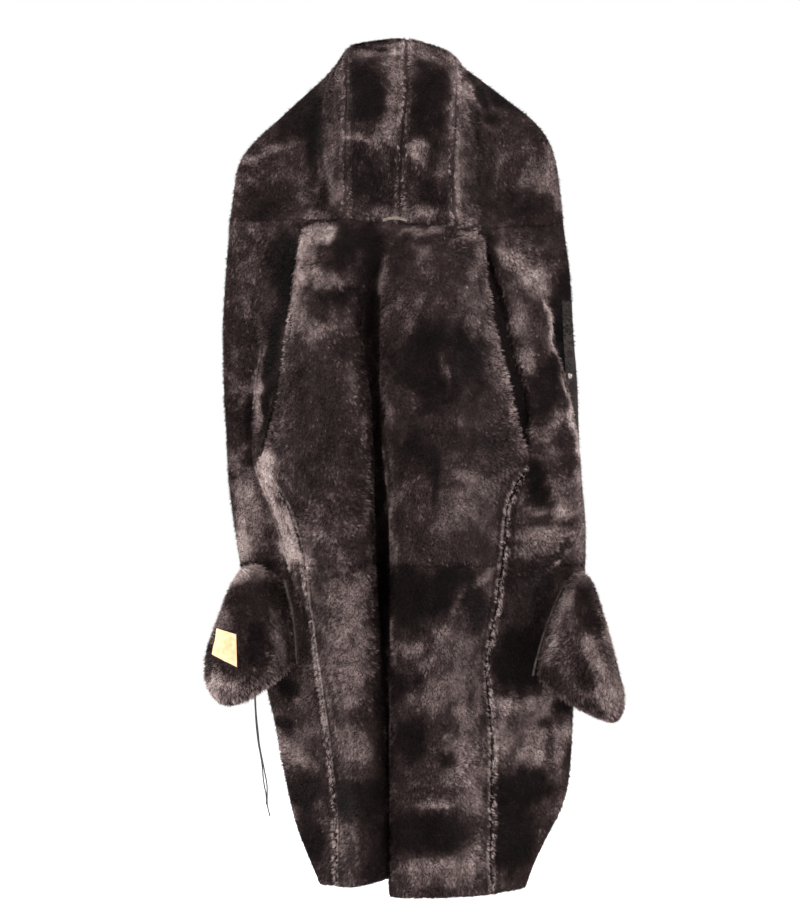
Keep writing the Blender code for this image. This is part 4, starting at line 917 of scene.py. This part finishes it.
@dataclass
class Skin:
    """One cut and sewn piece of shearling: its shell and its pile."""

    node: str
    flat: tuple[float, float]
    area: float
    fur_side: FurSide = FurSide.VIEWER
    fibres: float = 620_000.0
    length_mm: float = 5.6
    width_mm: float = 1.05
    lean: float = 0.75
    disorder: float = 0.34
    clump_mm: float = 14.0
    tuft_mm: float = 4.5
    levels: int = 2
    tone: float = 0.0
    seed: int = 1
    split_degrees: float = 45.0     # the fur and leather faces meet the cut edges at more than this
    sewn: bool = True               # its seams show in the pile as dark lines
    seam_pale: float = 1.0          # how strongly the pile is painted pale beside them (painted highlight) and its roots dark (painted shade)
    root_tone: np.ndarray | None = field(default=None, repr=False)
    shell: bpy.types.Object | None = field(default=None, repr=False)
    pile: bpy.types.Object | None = field(default=None, repr=False)
    seams: bpy.types.Object | None = field(default=None, repr=False)

    def _solid(self) -> bmesh.types.BMesh:
        """Copy the solid, join its loose triangles and mark which faces carry fur.

        Returns:
            The copy, with a material slot on each face and its sharp borders creased.
        """
        mesh = bmesh.new()
        mesh.from_mesh(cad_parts[self.node].data)
        bmesh.ops.remove_doubles(mesh, verts=mesh.verts, dist=WELD)
        bmesh.ops.join_triangles(mesh, faces=mesh.faces, angle_face_threshold=JOIN_ANGLE,
                                 angle_shape_threshold=JOIN_SHAPE)
        regions = self._regions(mesh)
        regions.sort(key=lambda faces: -sum(face.calc_area() for face in faces))
        fur, leather = regions[:2]
        if self.fur_side in (FurSide.VIEWER, FurSide.AWAY):
            facing = [sum(face.normal.y * face.calc_area() for face in faces)
                      for faces in (fur, leather)]
            if (facing[0] < facing[1]) != (self.fur_side is FurSide.VIEWER):
                fur, leather = leather, fur
        elif self.fur_side is FurSide.INNER:
            fur, leather = leather, fur
        for faces, slot in ((mesh.faces, EDGE), (fur, FUR), (leather, LEATHER)):
            for face in faces:
                face.material_index = slot
                face.smooth = True
        crease = mesh.edges.layers.float.new("crease_edge")
        split = math.radians(self.split_degrees)
        for edge in mesh.edges:
            worn = [face.material_index for face in edge.link_faces]
            if len(set(worn)) > 1 or (worn[0] == EDGE and edge.calc_face_angle(0.0) > split):
                edge[crease] = 1.0
        return mesh

    def _regions(self, mesh: bmesh.types.BMesh) -> list[list[bmesh.types.BMFace]]:
        """Split a solid's faces where they meet sharply.

        Args:
            mesh: the solid.

        Returns:
            The groups of faces.
        """
        left, groups, split = set(mesh.faces), [], math.radians(self.split_degrees)
        while left:
            group, waiting = [], [left.pop()]
            while waiting:
                face = waiting.pop()
                group.append(face)
                for edge in face.edges:
                    if edge.calc_face_angle(0.0) > split:
                        continue
                    for other in edge.link_faces:
                        if other in left:
                            left.remove(other)
                            waiting.append(other)
            groups.append(group)
        return groups

    def make_shell(self, fur: bpy.types.Material, leather: bpy.types.Material) -> None:
        """Smooth the solid into a creased shell and note the pile's lay, tone and cover on it.

        Args:
            fur: finish of the skin between the pile's roots.
            leather: finish of the leather side.
        """
        solid = self._solid()
        mesh = bpy.data.meshes.new(f"skin_{self.node}")
        solid.to_mesh(mesh)
        solid.free()
        for finish in (fur, leather, fur):
            mesh.materials.append(finish)
        self.shell = add_object(f"skin_{self.node}", mesh)
        rounding = self.shell.modifiers.new("rounding", "SUBSURF")
        rounding.levels = rounding.render_levels = self.levels
        self.shell.data = evaluated_mesh(self.shell)
        self.shell.modifiers.clear()
        self.shell.data.name = self.shell.name
        self._shape()
        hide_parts(self.node)
        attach(self.shell, "root")

    def _shape(self) -> None:
        """Press the creases into the shell, close its seams and write its attributes."""
        mesh = self.shell.data
        before = read(mesh.vertices, "co")
        worn = np.empty(len(mesh.polygons), dtype=np.int32)
        mesh.polygons.foreach_get("material_index", worn)
        border, outward = self._border(mesh, worn)
        away, nearest = self._to_border(before, before[border])
        sewn, pull = self._sewn(before[border])
        outward, beside, pull = outward[nearest], sewn[nearest], pull[nearest]
        by_armhole, folded = self._armhole(before), self._folded(before)
        upright = np.clip(2.0 * np.abs(outward[:, 0]) - np.abs(outward[:, 2]), 0.0, 1.0)
        beside = beside * upright * (1.0 - by_armhole) * (1.0 - folded)
        armhole = by_armhole * bell(away, ARMHOLE_REACH)
        points = before.copy()
        if self.sewn:
            points[:, 1] += pressed(before)
            points[:, 1] += beside * SEAM_VALLEY * bell(away, SEAM_VALLEY_REACH)
        points += drift(before, SWAY_SIZE_MM, SWAY_OFFSETS) * SWAY
        pocket = self.node.startswith("pocket")
        if not pocket:
            points += pull * bell(away, SEAM_CLOSE_REACH)[:, None]
        points += outward * (armhole * ARMHOLE_SPREAD)[:, None]
        mesh.vertices.foreach_set("co", points.ravel())
        mesh.update()
        # the tone: random clouds, with painted sheen and shade from the patches and bands
        tone = tones(before, self.node.split("_")[0]) + self.tone
        if pocket:
            # painted highlight along the bags' rims
            tone += RIM_HIGHLIGHT * bell(away, RIM_REACH)
        self.root_tone = tone - ROOT_DIM * self.seam_pale * beside * bell(away, ROOT_DIM_REACH)
        furry = (worn != LEATHER).astype(float)
        for at in np.flatnonzero(worn == EDGE):
            seen = self.seam_pale * min(beside[index] for index in mesh.polygons[at].vertices)
            if seen > BARE_EDGE:
                furry[at] = 0.0
        self._write("tone", tone)
        # how strongly the painted seam highlight shows
        self._write("pale", self.seam_pale * (1.0 - folded))
        self._write("reach", 1.0 + ARMHOLE_LONGER * armhole)
        self._write("cover", self._cover(before))
        self._write("furry", furry, "FACE")
        self._write("lay", self._lay(before, read(mesh.vertices, "normal"),
                                     outward * armhole[:, None]))
        parted = (sewn > 0.5) & (by_armhole[border] < 0.5) & (folded[border] < 0.5)
        self._seam_lines(mesh, worn, set(border[parted]) if self.sewn else set())

    @staticmethod
    def _border(mesh: bpy.types.Mesh, worn: np.ndarray) -> tuple[np.ndarray, np.ndarray]:
        """Find the points where a skin's faces and edges meet.

        Args:
            mesh: the shell's mesh.
            worn: each face's material slot.

        Returns:
            The points' indices, and which way the cut edge faces at each.
        """
        wearers: list[set[int]] = [set() for _ in mesh.vertices]
        facing = np.zeros((len(mesh.vertices), 3))
        for face, slot in zip(mesh.polygons, worn):
            for index in face.vertices:
                wearers[index].add(int(slot))
                if slot == EDGE:
                    facing[index] += face.normal
        border = np.array([at for at, slots in enumerate(wearers)
                           if len(slots) > 1 or EDGE in slots])
        return border, unit(facing[border])

    @staticmethod
    def _to_border(points: np.ndarray, border: np.ndarray) -> tuple[np.ndarray, np.ndarray]:
        """Measure how far points are from the border.

        Args:
            points: the shell's points.
            border: those of its border.

        Returns:
            Distances, and the nearest border point's place in the list.
        """
        tree = KDTree(len(border))
        for at, spot in enumerate(border):
            tree.insert(spot, at)
        tree.balance()
        found = [tree.find(point) for point in points]
        return np.array([hit[2] for hit in found]), np.array([hit[1] for hit in found])

    @staticmethod
    def _armhole(points: np.ndarray) -> np.ndarray:
        """Say which points lie where a sleeve is sewn in.

        Args:
            points: the shell's points.

        Returns:
            Ones and zeros.
        """
        across, height = points[:, 0] / MM, heights(points)
        return sum(((across > left) & (across < right) & (height > low) & (height < high))
                   .astype(float) for left, right, low, high in ARMHOLES)

    def _folded(self, points: np.ndarray) -> np.ndarray:
        """Say, in ones and zeros, which points lie in the back's centre fold."""
        across = points[:, 0] / MM
        inside = (across > FOLD_MM[0]) & (across < FOLD_MM[1])
        return (inside & self.node.startswith("back")).astype(float)

    def _sewn(self, spots: np.ndarray) -> tuple[np.ndarray, np.ndarray]:
        """Say at which border points another skin is sewn on, and how far off its edge is.

        Args:
            spots: the border's points.

        Returns:
            Ones and zeros, and the way to the other skin.
        """
        others = [tree for name, tree in skin_trees().items() if name != self.node]
        sewn, pull = np.zeros(len(spots)), np.zeros((len(spots), 3))
        for at, spot in enumerate(spots):
            found = [other.find_nearest(Vector(spot), JOIN_REACH) for other in others]
            found = [(hit[3], hit[0]) for hit in found if hit[0] is not None]
            if found:
                gap, meeting = min(found, key=lambda pair: pair[0])
                sewn[at] = 1.0
                pull[at] = np.array(meeting - Vector(spot)) * (1.0 + SEAM_LAP / max(gap, LEAST_GAP))
        return sewn, pull

    def _seam_lines(self, mesh: bpy.types.Mesh, worn: np.ndarray, sewn: set[int]) -> None:
        """Trace the upright seams on the fur side, where the pile parts; it hides the level ones.

        Args:
            mesh: the shell's mesh.
            worn: each face's material slot.
            sewn: the border's sewn points.
        """
        wearers: dict[tuple[int, int], set[int]] = {}
        for face, slot in zip(mesh.polygons, worn):
            for key in face.edge_keys:
                wearers.setdefault(key, set()).add(int(slot))
        lines = []
        for key, slots in wearers.items():
            if FUR in slots and len(slots) > 1 and key[0] in sewn and key[1] in sewn:
                run = mesh.vertices[key[1]].co - mesh.vertices[key[0]].co
                if abs(run.z) > abs(run.x):
                    lines.append(key)
        used = sorted({index for key in lines for index in key})
        place_of = {index: at for at, index in enumerate(used)}
        spots = np.array([mesh.vertices[index].co for index in used]).reshape(-1, 3)
        if len(spots):
            spots[:, 0] += clouds(spots, SEAM_WANDER)
        traced = bpy.data.meshes.new(f"seams_{self.node}")
        traced.from_pydata([tuple(spot) for spot in spots],
                           [(place_of[first], place_of[second]) for first, second in lines], [])
        self.seams = add_object(traced.name, traced)

    def _write(self, name: str, values: np.ndarray, domain: str = "POINT") -> None:
        """Write an attribute on the shell's mesh."""
        attribute = self.shell.data.attributes.new(name, WRITTEN[name], domain)
        key = "vector" if WRITTEN[name] == "FLOAT_VECTOR" else "value"
        attribute.data.foreach_set(key, np.asarray(values, dtype=np.float32).ravel())

    def _cover(self, points: np.ndarray) -> np.ndarray:
        """Say how dense the pile is: thinned where only its own folds hide it.

        Args:
            points: the shell's points.

        Returns:
            Shares of the full density.
        """
        cover = np.ones(len(points))
        if self.node.startswith("back"):
            depth = points[:, 1] / MM + HOLD_DEPTH
            centre = np.abs(points[:, 0] / MM - FOLD_MIDDLE_MM) < FOLD_HALF_MM
            cover[centre & (depth > FOLD_DEPTH_MM)] = FOLD_COVER
        if self.fur_side is FurSide.INNER:
            height = heights(points)
            cover = np.clip((height - SLEEVE_HIDDEN_MM) / SLEEVE_EASE_MM, SLEEVE_COVER, 1.0)
            cover[height < CUFF_MM] = CUFF_COVER
        return cover

    @staticmethod
    def _lay(points: np.ndarray, normals: np.ndarray, pull: np.ndarray) -> np.ndarray:
        """Work out which way the pile lies: down the skin, turned in clouds.

        Args:
            points: the shell's points.
            normals: its normals.
            pull: where it lies across an armhole's border, and how strongly.

        Returns:
            Unit vectors along the surface.
        """
        turn = drift(points, LAY_SIZE_MM, LAY_OFFSETS) * LAY_TURN
        way = turn + (0.0, 0.0, -1.0) + ARMHOLE_LEAN * pull
        return unit(way - normals * (way * normals).sum(axis=1, keepdims=True))

    def make_pile(self, tree: PileTree, finish: bpy.types.Material,
                  trims: bpy.types.Object) -> None:
        """Args:
            tree: the pile's node tree.
            finish: the fibres' finish.
            trims: the small pieces that the pile keeps clear of.
        """
        self.pile = tree.grow(self.shell, f"pile_{self.node}", {
            "Fibres per square metre": self.fibres, "Fibre length": self.length_mm * MM,
            "Fibre width": self.width_mm * MM, "Lean": self.lean, "Disorder": self.disorder,
            "Clump size": self.clump_mm * MM, "Tuft size": self.tuft_mm * MM, "Seed": self.seed,
            "Finish": finish, "Seams": self.seams, "Trims": trims})
        bpy.data.objects.remove(self.seams)
        self.seams = None
        tone = self.shell.data.attributes["tone"].data
        tone.foreach_set("value", self.root_tone.astype(np.float32))
        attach(self.pile, "root")
        LOG.info("%s: shell %d faces, pile %d fibres", self.node, len(self.shell.data.polygons),
                 len(self.pile.data.polygons))


def unit(vectors: np.ndarray) -> np.ndarray:
    """Bring rows of vectors to a length of one."""
    return vectors / np.maximum(np.linalg.norm(vectors, axis=1, keepdims=True), 1e-6)


SKIN_TREES: dict[str, BVHTree] = {}


def skin_trees() -> dict[str, BVHTree]:
    """Return each sewn skin's solid as a search tree, built at the first call."""
    if not SKIN_TREES:
        for name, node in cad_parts.items():
            if name.startswith(("hood", "back", "front_upper", "front_lower", "sleeve")):
                mesh = node.data
                SKIN_TREES[name] = BVHTree.FromPolygons(
                    [vertex.co for vertex in mesh.vertices],
                    [tuple(face.vertices) for face in mesh.polygons])
    return SKIN_TREES


IN_THE_PILE = ("pocket_edge_left", "pocket_edge_right", "hanger_loop", "snap_socket", "cord_eyelet",
               "label_patch")


def merged_trims() -> bpy.types.Object:
    """Copy the small pieces into one object, for the pile to keep clear of.

    Returns:
        The object, at the origin.
    """
    merged = bmesh.new()
    for node in IN_THE_PILE:
        merged.from_mesh(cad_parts[node].data)
    mesh = bpy.data.meshes.new("trims")
    merged.to_mesh(mesh)
    merged.free()
    return add_object("trims", mesh)


HOOD = {"seam_pale": 0.4}
BAG = {"length_mm": 6.6, "split_degrees": 52, "sewn": False}
# the sleeves' fur is toned 0.3 darker: painted shade inside the tubes
SLEEVE = {"fur_side": FurSide.INNER, "fibres": 240_000.0, "levels": 1, "tone": -0.3,
          "split_degrees": 35, "sewn": False}


@dataclass
class Coat:
    """All the shearling skins."""

    skins: tuple[Skin, ...] = (
        Skin("hood_centre_left", (0.10, 0.42), 0.037, seed=11, lean=1.0, **HOOD),
        Skin("hood_centre_right", (0.09, 0.42), 0.033, seed=12, lean=1.0, **HOOD),
        Skin("hood_side_left", (0.19, 0.36), 0.055, seed=13, **HOOD),
        Skin("hood_side_right", (0.19, 0.36), 0.055, seed=14, **HOOD),
        Skin("back_upper_left", (0.33, 0.57), 0.143, seed=21),
        Skin("back_upper_right", (0.36, 0.57), 0.171, seed=22),
        Skin("back_lower_left", (0.27, 0.53), 0.128, seed=23),
        Skin("back_lower_right", (0.33, 0.53), 0.166, seed=24),
        Skin("front_upper_left", (0.24, 0.57), 0.100, seed=31, split_degrees=38),
        Skin("front_upper_right", (0.24, 0.57), 0.099, seed=32),
        Skin("front_lower_left", (0.20, 0.54), 0.068, seed=33),
        Skin("front_lower_right", (0.22, 0.55), 0.085, seed=34),
        Skin("pocket_bag_left_near", (0.20, 0.18), 0.028, seed=41, **BAG),
        Skin("pocket_bag_right_near", (0.20, 0.18), 0.026, seed=42, **BAG),
        Skin("pocket_bag_left_far", (0.20, 0.18), 0.028, FurSide.AWAY, seed=43, **BAG),
        Skin("pocket_bag_right_far", (0.20, 0.18), 0.026, FurSide.AWAY, seed=44, **BAG),
        Skin("sleeve_left", (0.26, 0.60), 0.148, seed=51, **SLEEVE),
        Skin("sleeve_right", (0.26, 0.60), 0.149, seed=52, **SLEEVE),
    )

    def build(self) -> None:
        """Make every skin's shell and pile."""
        # the skin between the roots wears the painted root shade, darker still between clumps
        roots = Shearling("dyed sheepskin between the wool's roots", on_fibres=False,
                          root_shade=0.5).build()
        wool = Shearling("dyed clipped wool").build()
        hide = Leather("finished sheepskin leather", "120c0b", "281d1a", roughness=0.56).build()
        tree = PileTree()
        trims = merged_trims()
        for skin in self.skins:
            skin.make_shell(roots, hide)
            skin.make_pile(tree, wool, trims)
        bpy.data.objects.remove(trims)


# ---------------------------------------------------------------- trims

@dataclass
class Trims:
    """The small pieces whose solids stay and take a better finish."""

    worn: tuple[tuple[Leather | Metal, tuple[str, ...]], ...] = (
        (Leather("cut leather edging", "1a1615", "5c5350", cloud_mm=6.0),
         ("pocket_edge_left", "pocket_edge_right")),
        (Leather("folded leather loop", "4a3d38", "84756d", cloud_mm=6.0), ("hanger_loop",)),
        (Leather("leather snap band", "18100e", "2c201c"), ("front_band_right",)),
        (Leather("vegetable-tanned leather", "cfa173", "e9caa4", cell_mm=1.1, cloud_mm=9.0,
                 roughness=0.6), ("label_patch",)),
        (Metal("nickel-plated brass"), ("snap_socket", "cord_eyelet")),
    )

    def build(self) -> None:
        """Dress every small piece."""
        for finish, nodes in self.worn:
            made = finish.build()
            for node in nodes:
                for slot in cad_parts[node].material_slots:
                    slot.material = made
            LOG.info("%s on %s", finish.name, ", ".join(nodes))


# ---------------------------------------------------------------- drawcord

# Across, in depth and above the hem, in millimetres, as the solids run.
LONG_ROUTE = (
    (-240, 92, 452), (-243, 92, 425), (-244.6, 91, 390), (-245, 90, 350), (-244, 90, 315),
    (-242, 90, 281), (-239.5, 90, 258), (-237.5, 90, 238), (-234.5, 90, 221), (-231, 90, 204),
    (-228, 90, 188), (-225.7, 90, 176), (-224.6, 91, 165), (-224.6, 91, 153), (-224.4, 91, 139),
    (-223, 91, 131), (-219.8, 90, 119),
)
SHORT_ROUTE = (
    (-243, 93, 452), (-245.4, 94, 425), (-246.6, 94, 390), (-246.6, 94, 350), (-245, 94, 315),
    (-243.4, 93.5, 281), (-241.4, 93, 258), (-239, 93, 238), (-235.8, 93, 221), (-233, 93, 204),
    (-231.6, 93, 188), (-230.8, 93, 180), (-229.2, 93.5, 168), (-226.8, 94, 157), (-226, 94, 148),
    (-225.8, 94, 138),
)


@dataclass
class Drawcord:
    """One free end of the drawcord, along the route of its solid."""

    node: str
    way: float
    route: tuple[tuple[float, float, float], ...]
    diameter_mm: float = 2.2
    apart_mm: float = 1.4
    first_out_mm: tuple[float, ...] = (0.8, 5.0, 10.0)
    first_drop_mm: tuple[float, float, float] = (-0.6, 0.0, -5.0)
    eyelet_middle_mm: float = 1.12
    points_each: int = 3

    def _eyelet(self) -> tuple[np.ndarray, np.ndarray]:
        """Find the eyelet's foot and the way out of it.

        Returns:
            The foot and the direction, in metres.
        """
        points = np.array([vertex.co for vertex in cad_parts["cord_eyelet"].data.vertices])
        points = np.unique(points.round(6), axis=0)
        middle = points.mean(axis=0)
        _, _, turns = np.linalg.svd(points - middle)
        axis = turns[2] * (1 if turns[2][1] > 0 else -1)
        return middle - axis * self.eyelet_middle_mm * MM, axis

    def build(self, finish: bpy.types.Material) -> None:
        """Args:
            finish: the cord's finish.
        """
        foot, axis = self._eyelet()
        aside = np.array((self.way * self.apart_mm * MM, 0.0, 0.0))
        start, forth, drop = (foot + axis * reach * MM + aside for reach in self.first_out_mm)
        drop = drop + np.array(self.first_drop_mm) * MM
        stations = [start, forth, drop, *(np.array(place(*spot)) for spot in self.route)]
        line = thread(np.array(stations), self.points_each)
        curve = bpy.data.curves.new(f"{self.node}_braid", "CURVE")
        curve.dimensions = "3D"
        spline = curve.splines.new("POLY")
        spline.points.add(len(line) - 1)
        for point, spot in zip(spline.points, line):
            point.co = (*spot, 1.0)
        curve.bevel_depth = self.diameter_mm / 2 * MM
        curve.bevel_resolution = 3
        curve.use_fill_caps = True
        curve.materials.append(finish)
        cord = add_object(f"{self.node}_braid", curve)
        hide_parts(self.node)
        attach(cord, "root")


def thread(stations: np.ndarray, points_each: int) -> np.ndarray:
    """Run a smooth curve through stations.

    Args:
        stations: the points it passes.
        points_each: points to each section.

    Returns:
        Points along the curve.
    """
    steps = np.sqrt(np.linalg.norm(np.diff(stations, axis=0), axis=1))
    knots = np.concatenate(([0.0], np.cumsum(steps)))
    slopes = np.gradient(stations, knots, axis=0)
    line = []
    for low in range(len(stations) - 1):
        span = knots[low + 1] - knots[low]
        last = low == len(stations) - 2
        for part in np.linspace(0.0, 1.0, points_each + 1)[: None if last else -1]:
            rest = 1 - part
            line.append((1 + 2 * part) * rest ** 2 * stations[low]
                        + part * rest ** 2 * span * slopes[low]
                        + part ** 2 * (3 - 2 * part) * stations[low + 1]
                        - part ** 2 * rest * span * slopes[low + 1])
    return np.array(line)


# ---------------------------------------------------------------- studio

@dataclass(frozen=True)
class Lamp:
    """A round soft light: where it hangs and how wide it is in metres, and its power in watts."""

    name: str
    spot: tuple[float, float, float]
    size: float
    power: float
    aims_behind: bool = False


@dataclass
class Studio:
    """Pale lit floor, soft lights and the camera."""

    middle_x_mm: float = -8.0
    middle_height_mm: float = 705.0
    view_height_m: float = 1.481
    distance_m: float = 10.0
    film_mm: float = 36.0
    floor_drop_mm: float = 60.0
    floor_half_m: float = 9.0
    behind_m: float = 3.0           # how far behind the coat the side lights aim
    paper: str = "f6f6f6"
    paper_roughness: float = 0.9
    paper_glow: float = 0.6
    surround: str = "ffffff"
    ambience: float = 0.5
    lamps: tuple[Lamp, ...] = (
        Lamp("key", (-1.8, -3.0, 1.6), 1.4, 120.0), Lamp("fill", (2.4, -3.2, 0.2), 2.0, 45.0),
        Lamp("top", (0.0, -0.4, 2.2), 1.4, 45.0), Lamp("rim left", (-2.4, 1.0, 0.4), 1.0, 25.0),
        Lamp("rim right", (2.4, 1.0, 0.4), 1.0, 25.0),
        Lamp("side left", (-3.4, 0.6, 0.6), 1.6, 130.0, aims_behind=True),
        Lamp("side right", (3.4, 0.6, 0.6), 1.6, 130.0, aims_behind=True),
    )

    def build(self) -> None:
        """Make the floor, the lights and the camera."""
        self._camera()
        self._floor()
        self._surround()
        self._lights()

    def _camera(self) -> None:
        """Aim a long lens straight at the coat's middle."""
        lens = bpy.data.cameras.new("camera")
        lens.sensor_fit = "VERTICAL"
        lens.sensor_height = self.film_mm
        lens.lens = self.film_mm * self.distance_m / self.view_height_m
        camera = add_object("camera", lens)
        middle = place(self.middle_x_mm, HOLD_DEPTH, self.middle_height_mm)
        camera.location = middle - Vector((0.0, self.distance_m, 0.0))
        camera.rotation_euler = (math.radians(90), 0.0, 0.0)
        bpy.context.scene.camera = camera

    def _floor(self) -> None:
        """Lay translucent white paper, lit from below, under the coat."""
        level = place(0, HOLD_DEPTH, -self.floor_drop_mm).z
        half = self.floor_half_m
        corners = [(-half, -half, level), (half, -half, level), (half, half, level),
                   (-half, half, level)]
        mesh = bpy.data.meshes.new("paper_floor")
        mesh.from_pydata(corners, [], [(0, 1, 2, 3)])
        paper = bpy.data.materials.new("matt backlit paper")
        paper.use_nodes = True
        Finish.wear(paper.node_tree.nodes["Principled BSDF"], {}, Base_Color=linear(self.paper),
                    Roughness=self.paper_roughness, Emission_Color=linear(self.paper),
                    Emission_Strength=self.paper_glow)
        mesh.materials.append(paper)
        add_object("paper_floor", mesh)

    def _surround(self) -> None:
        """Wrap the studio in an even light that looks like white paper from every side."""
        world = bpy.data.worlds.new("studio")
        world.use_nodes = True
        tree = world.node_tree
        seen = out(add_node(tree, "ShaderNodeLightPath"), "Is Camera Ray")
        strength = add_node(tree, "ShaderNodeMapRange", None,
                            {"Value": seen, "To Min": self.ambience, "To Max": 1.0})
        background = tree.nodes["Background"]
        background.inputs["Color"].default_value = linear(self.surround)
        tree.links.new(out(strength, "Result"), background.inputs["Strength"])
        bpy.context.scene.world = world

    def _lights(self) -> None:
        """Hang soft boxes round the coat."""
        coat = place(0, 0, self.middle_height_mm)
        behind = Vector((0.0, self.behind_m, coat.z))
        for lamp in self.lamps:
            light = bpy.data.lights.new(lamp.name, "AREA")
            light.shape = "DISK"
            light.size = lamp.size
            light.energy = lamp.power
            box = add_object(lamp.name, light)
            box.location = lamp.spot
            way = (behind if lamp.aims_behind else coat) - Vector(lamp.spot)
            box.rotation_euler = way.to_track_quat("-Z", "Y").to_euler()
        bpy.context.scene.view_settings.view_transform = "Standard"


def main() -> None:
    """Build the coat's looks and the studio, piece by piece."""
    logging.basicConfig(level=logging.INFO, format="%(message)s")
    Studio().build()
    braid = Cord("waxed braided cotton").build()
    Drawcord("drawcord_long", 1.0, LONG_ROUTE).build(braid)
    Drawcord("drawcord_short", -1.0, SHORT_ROUTE).build(braid)
    Coat().build()
    Trims().build()


if __name__ == "__main__":
    main()
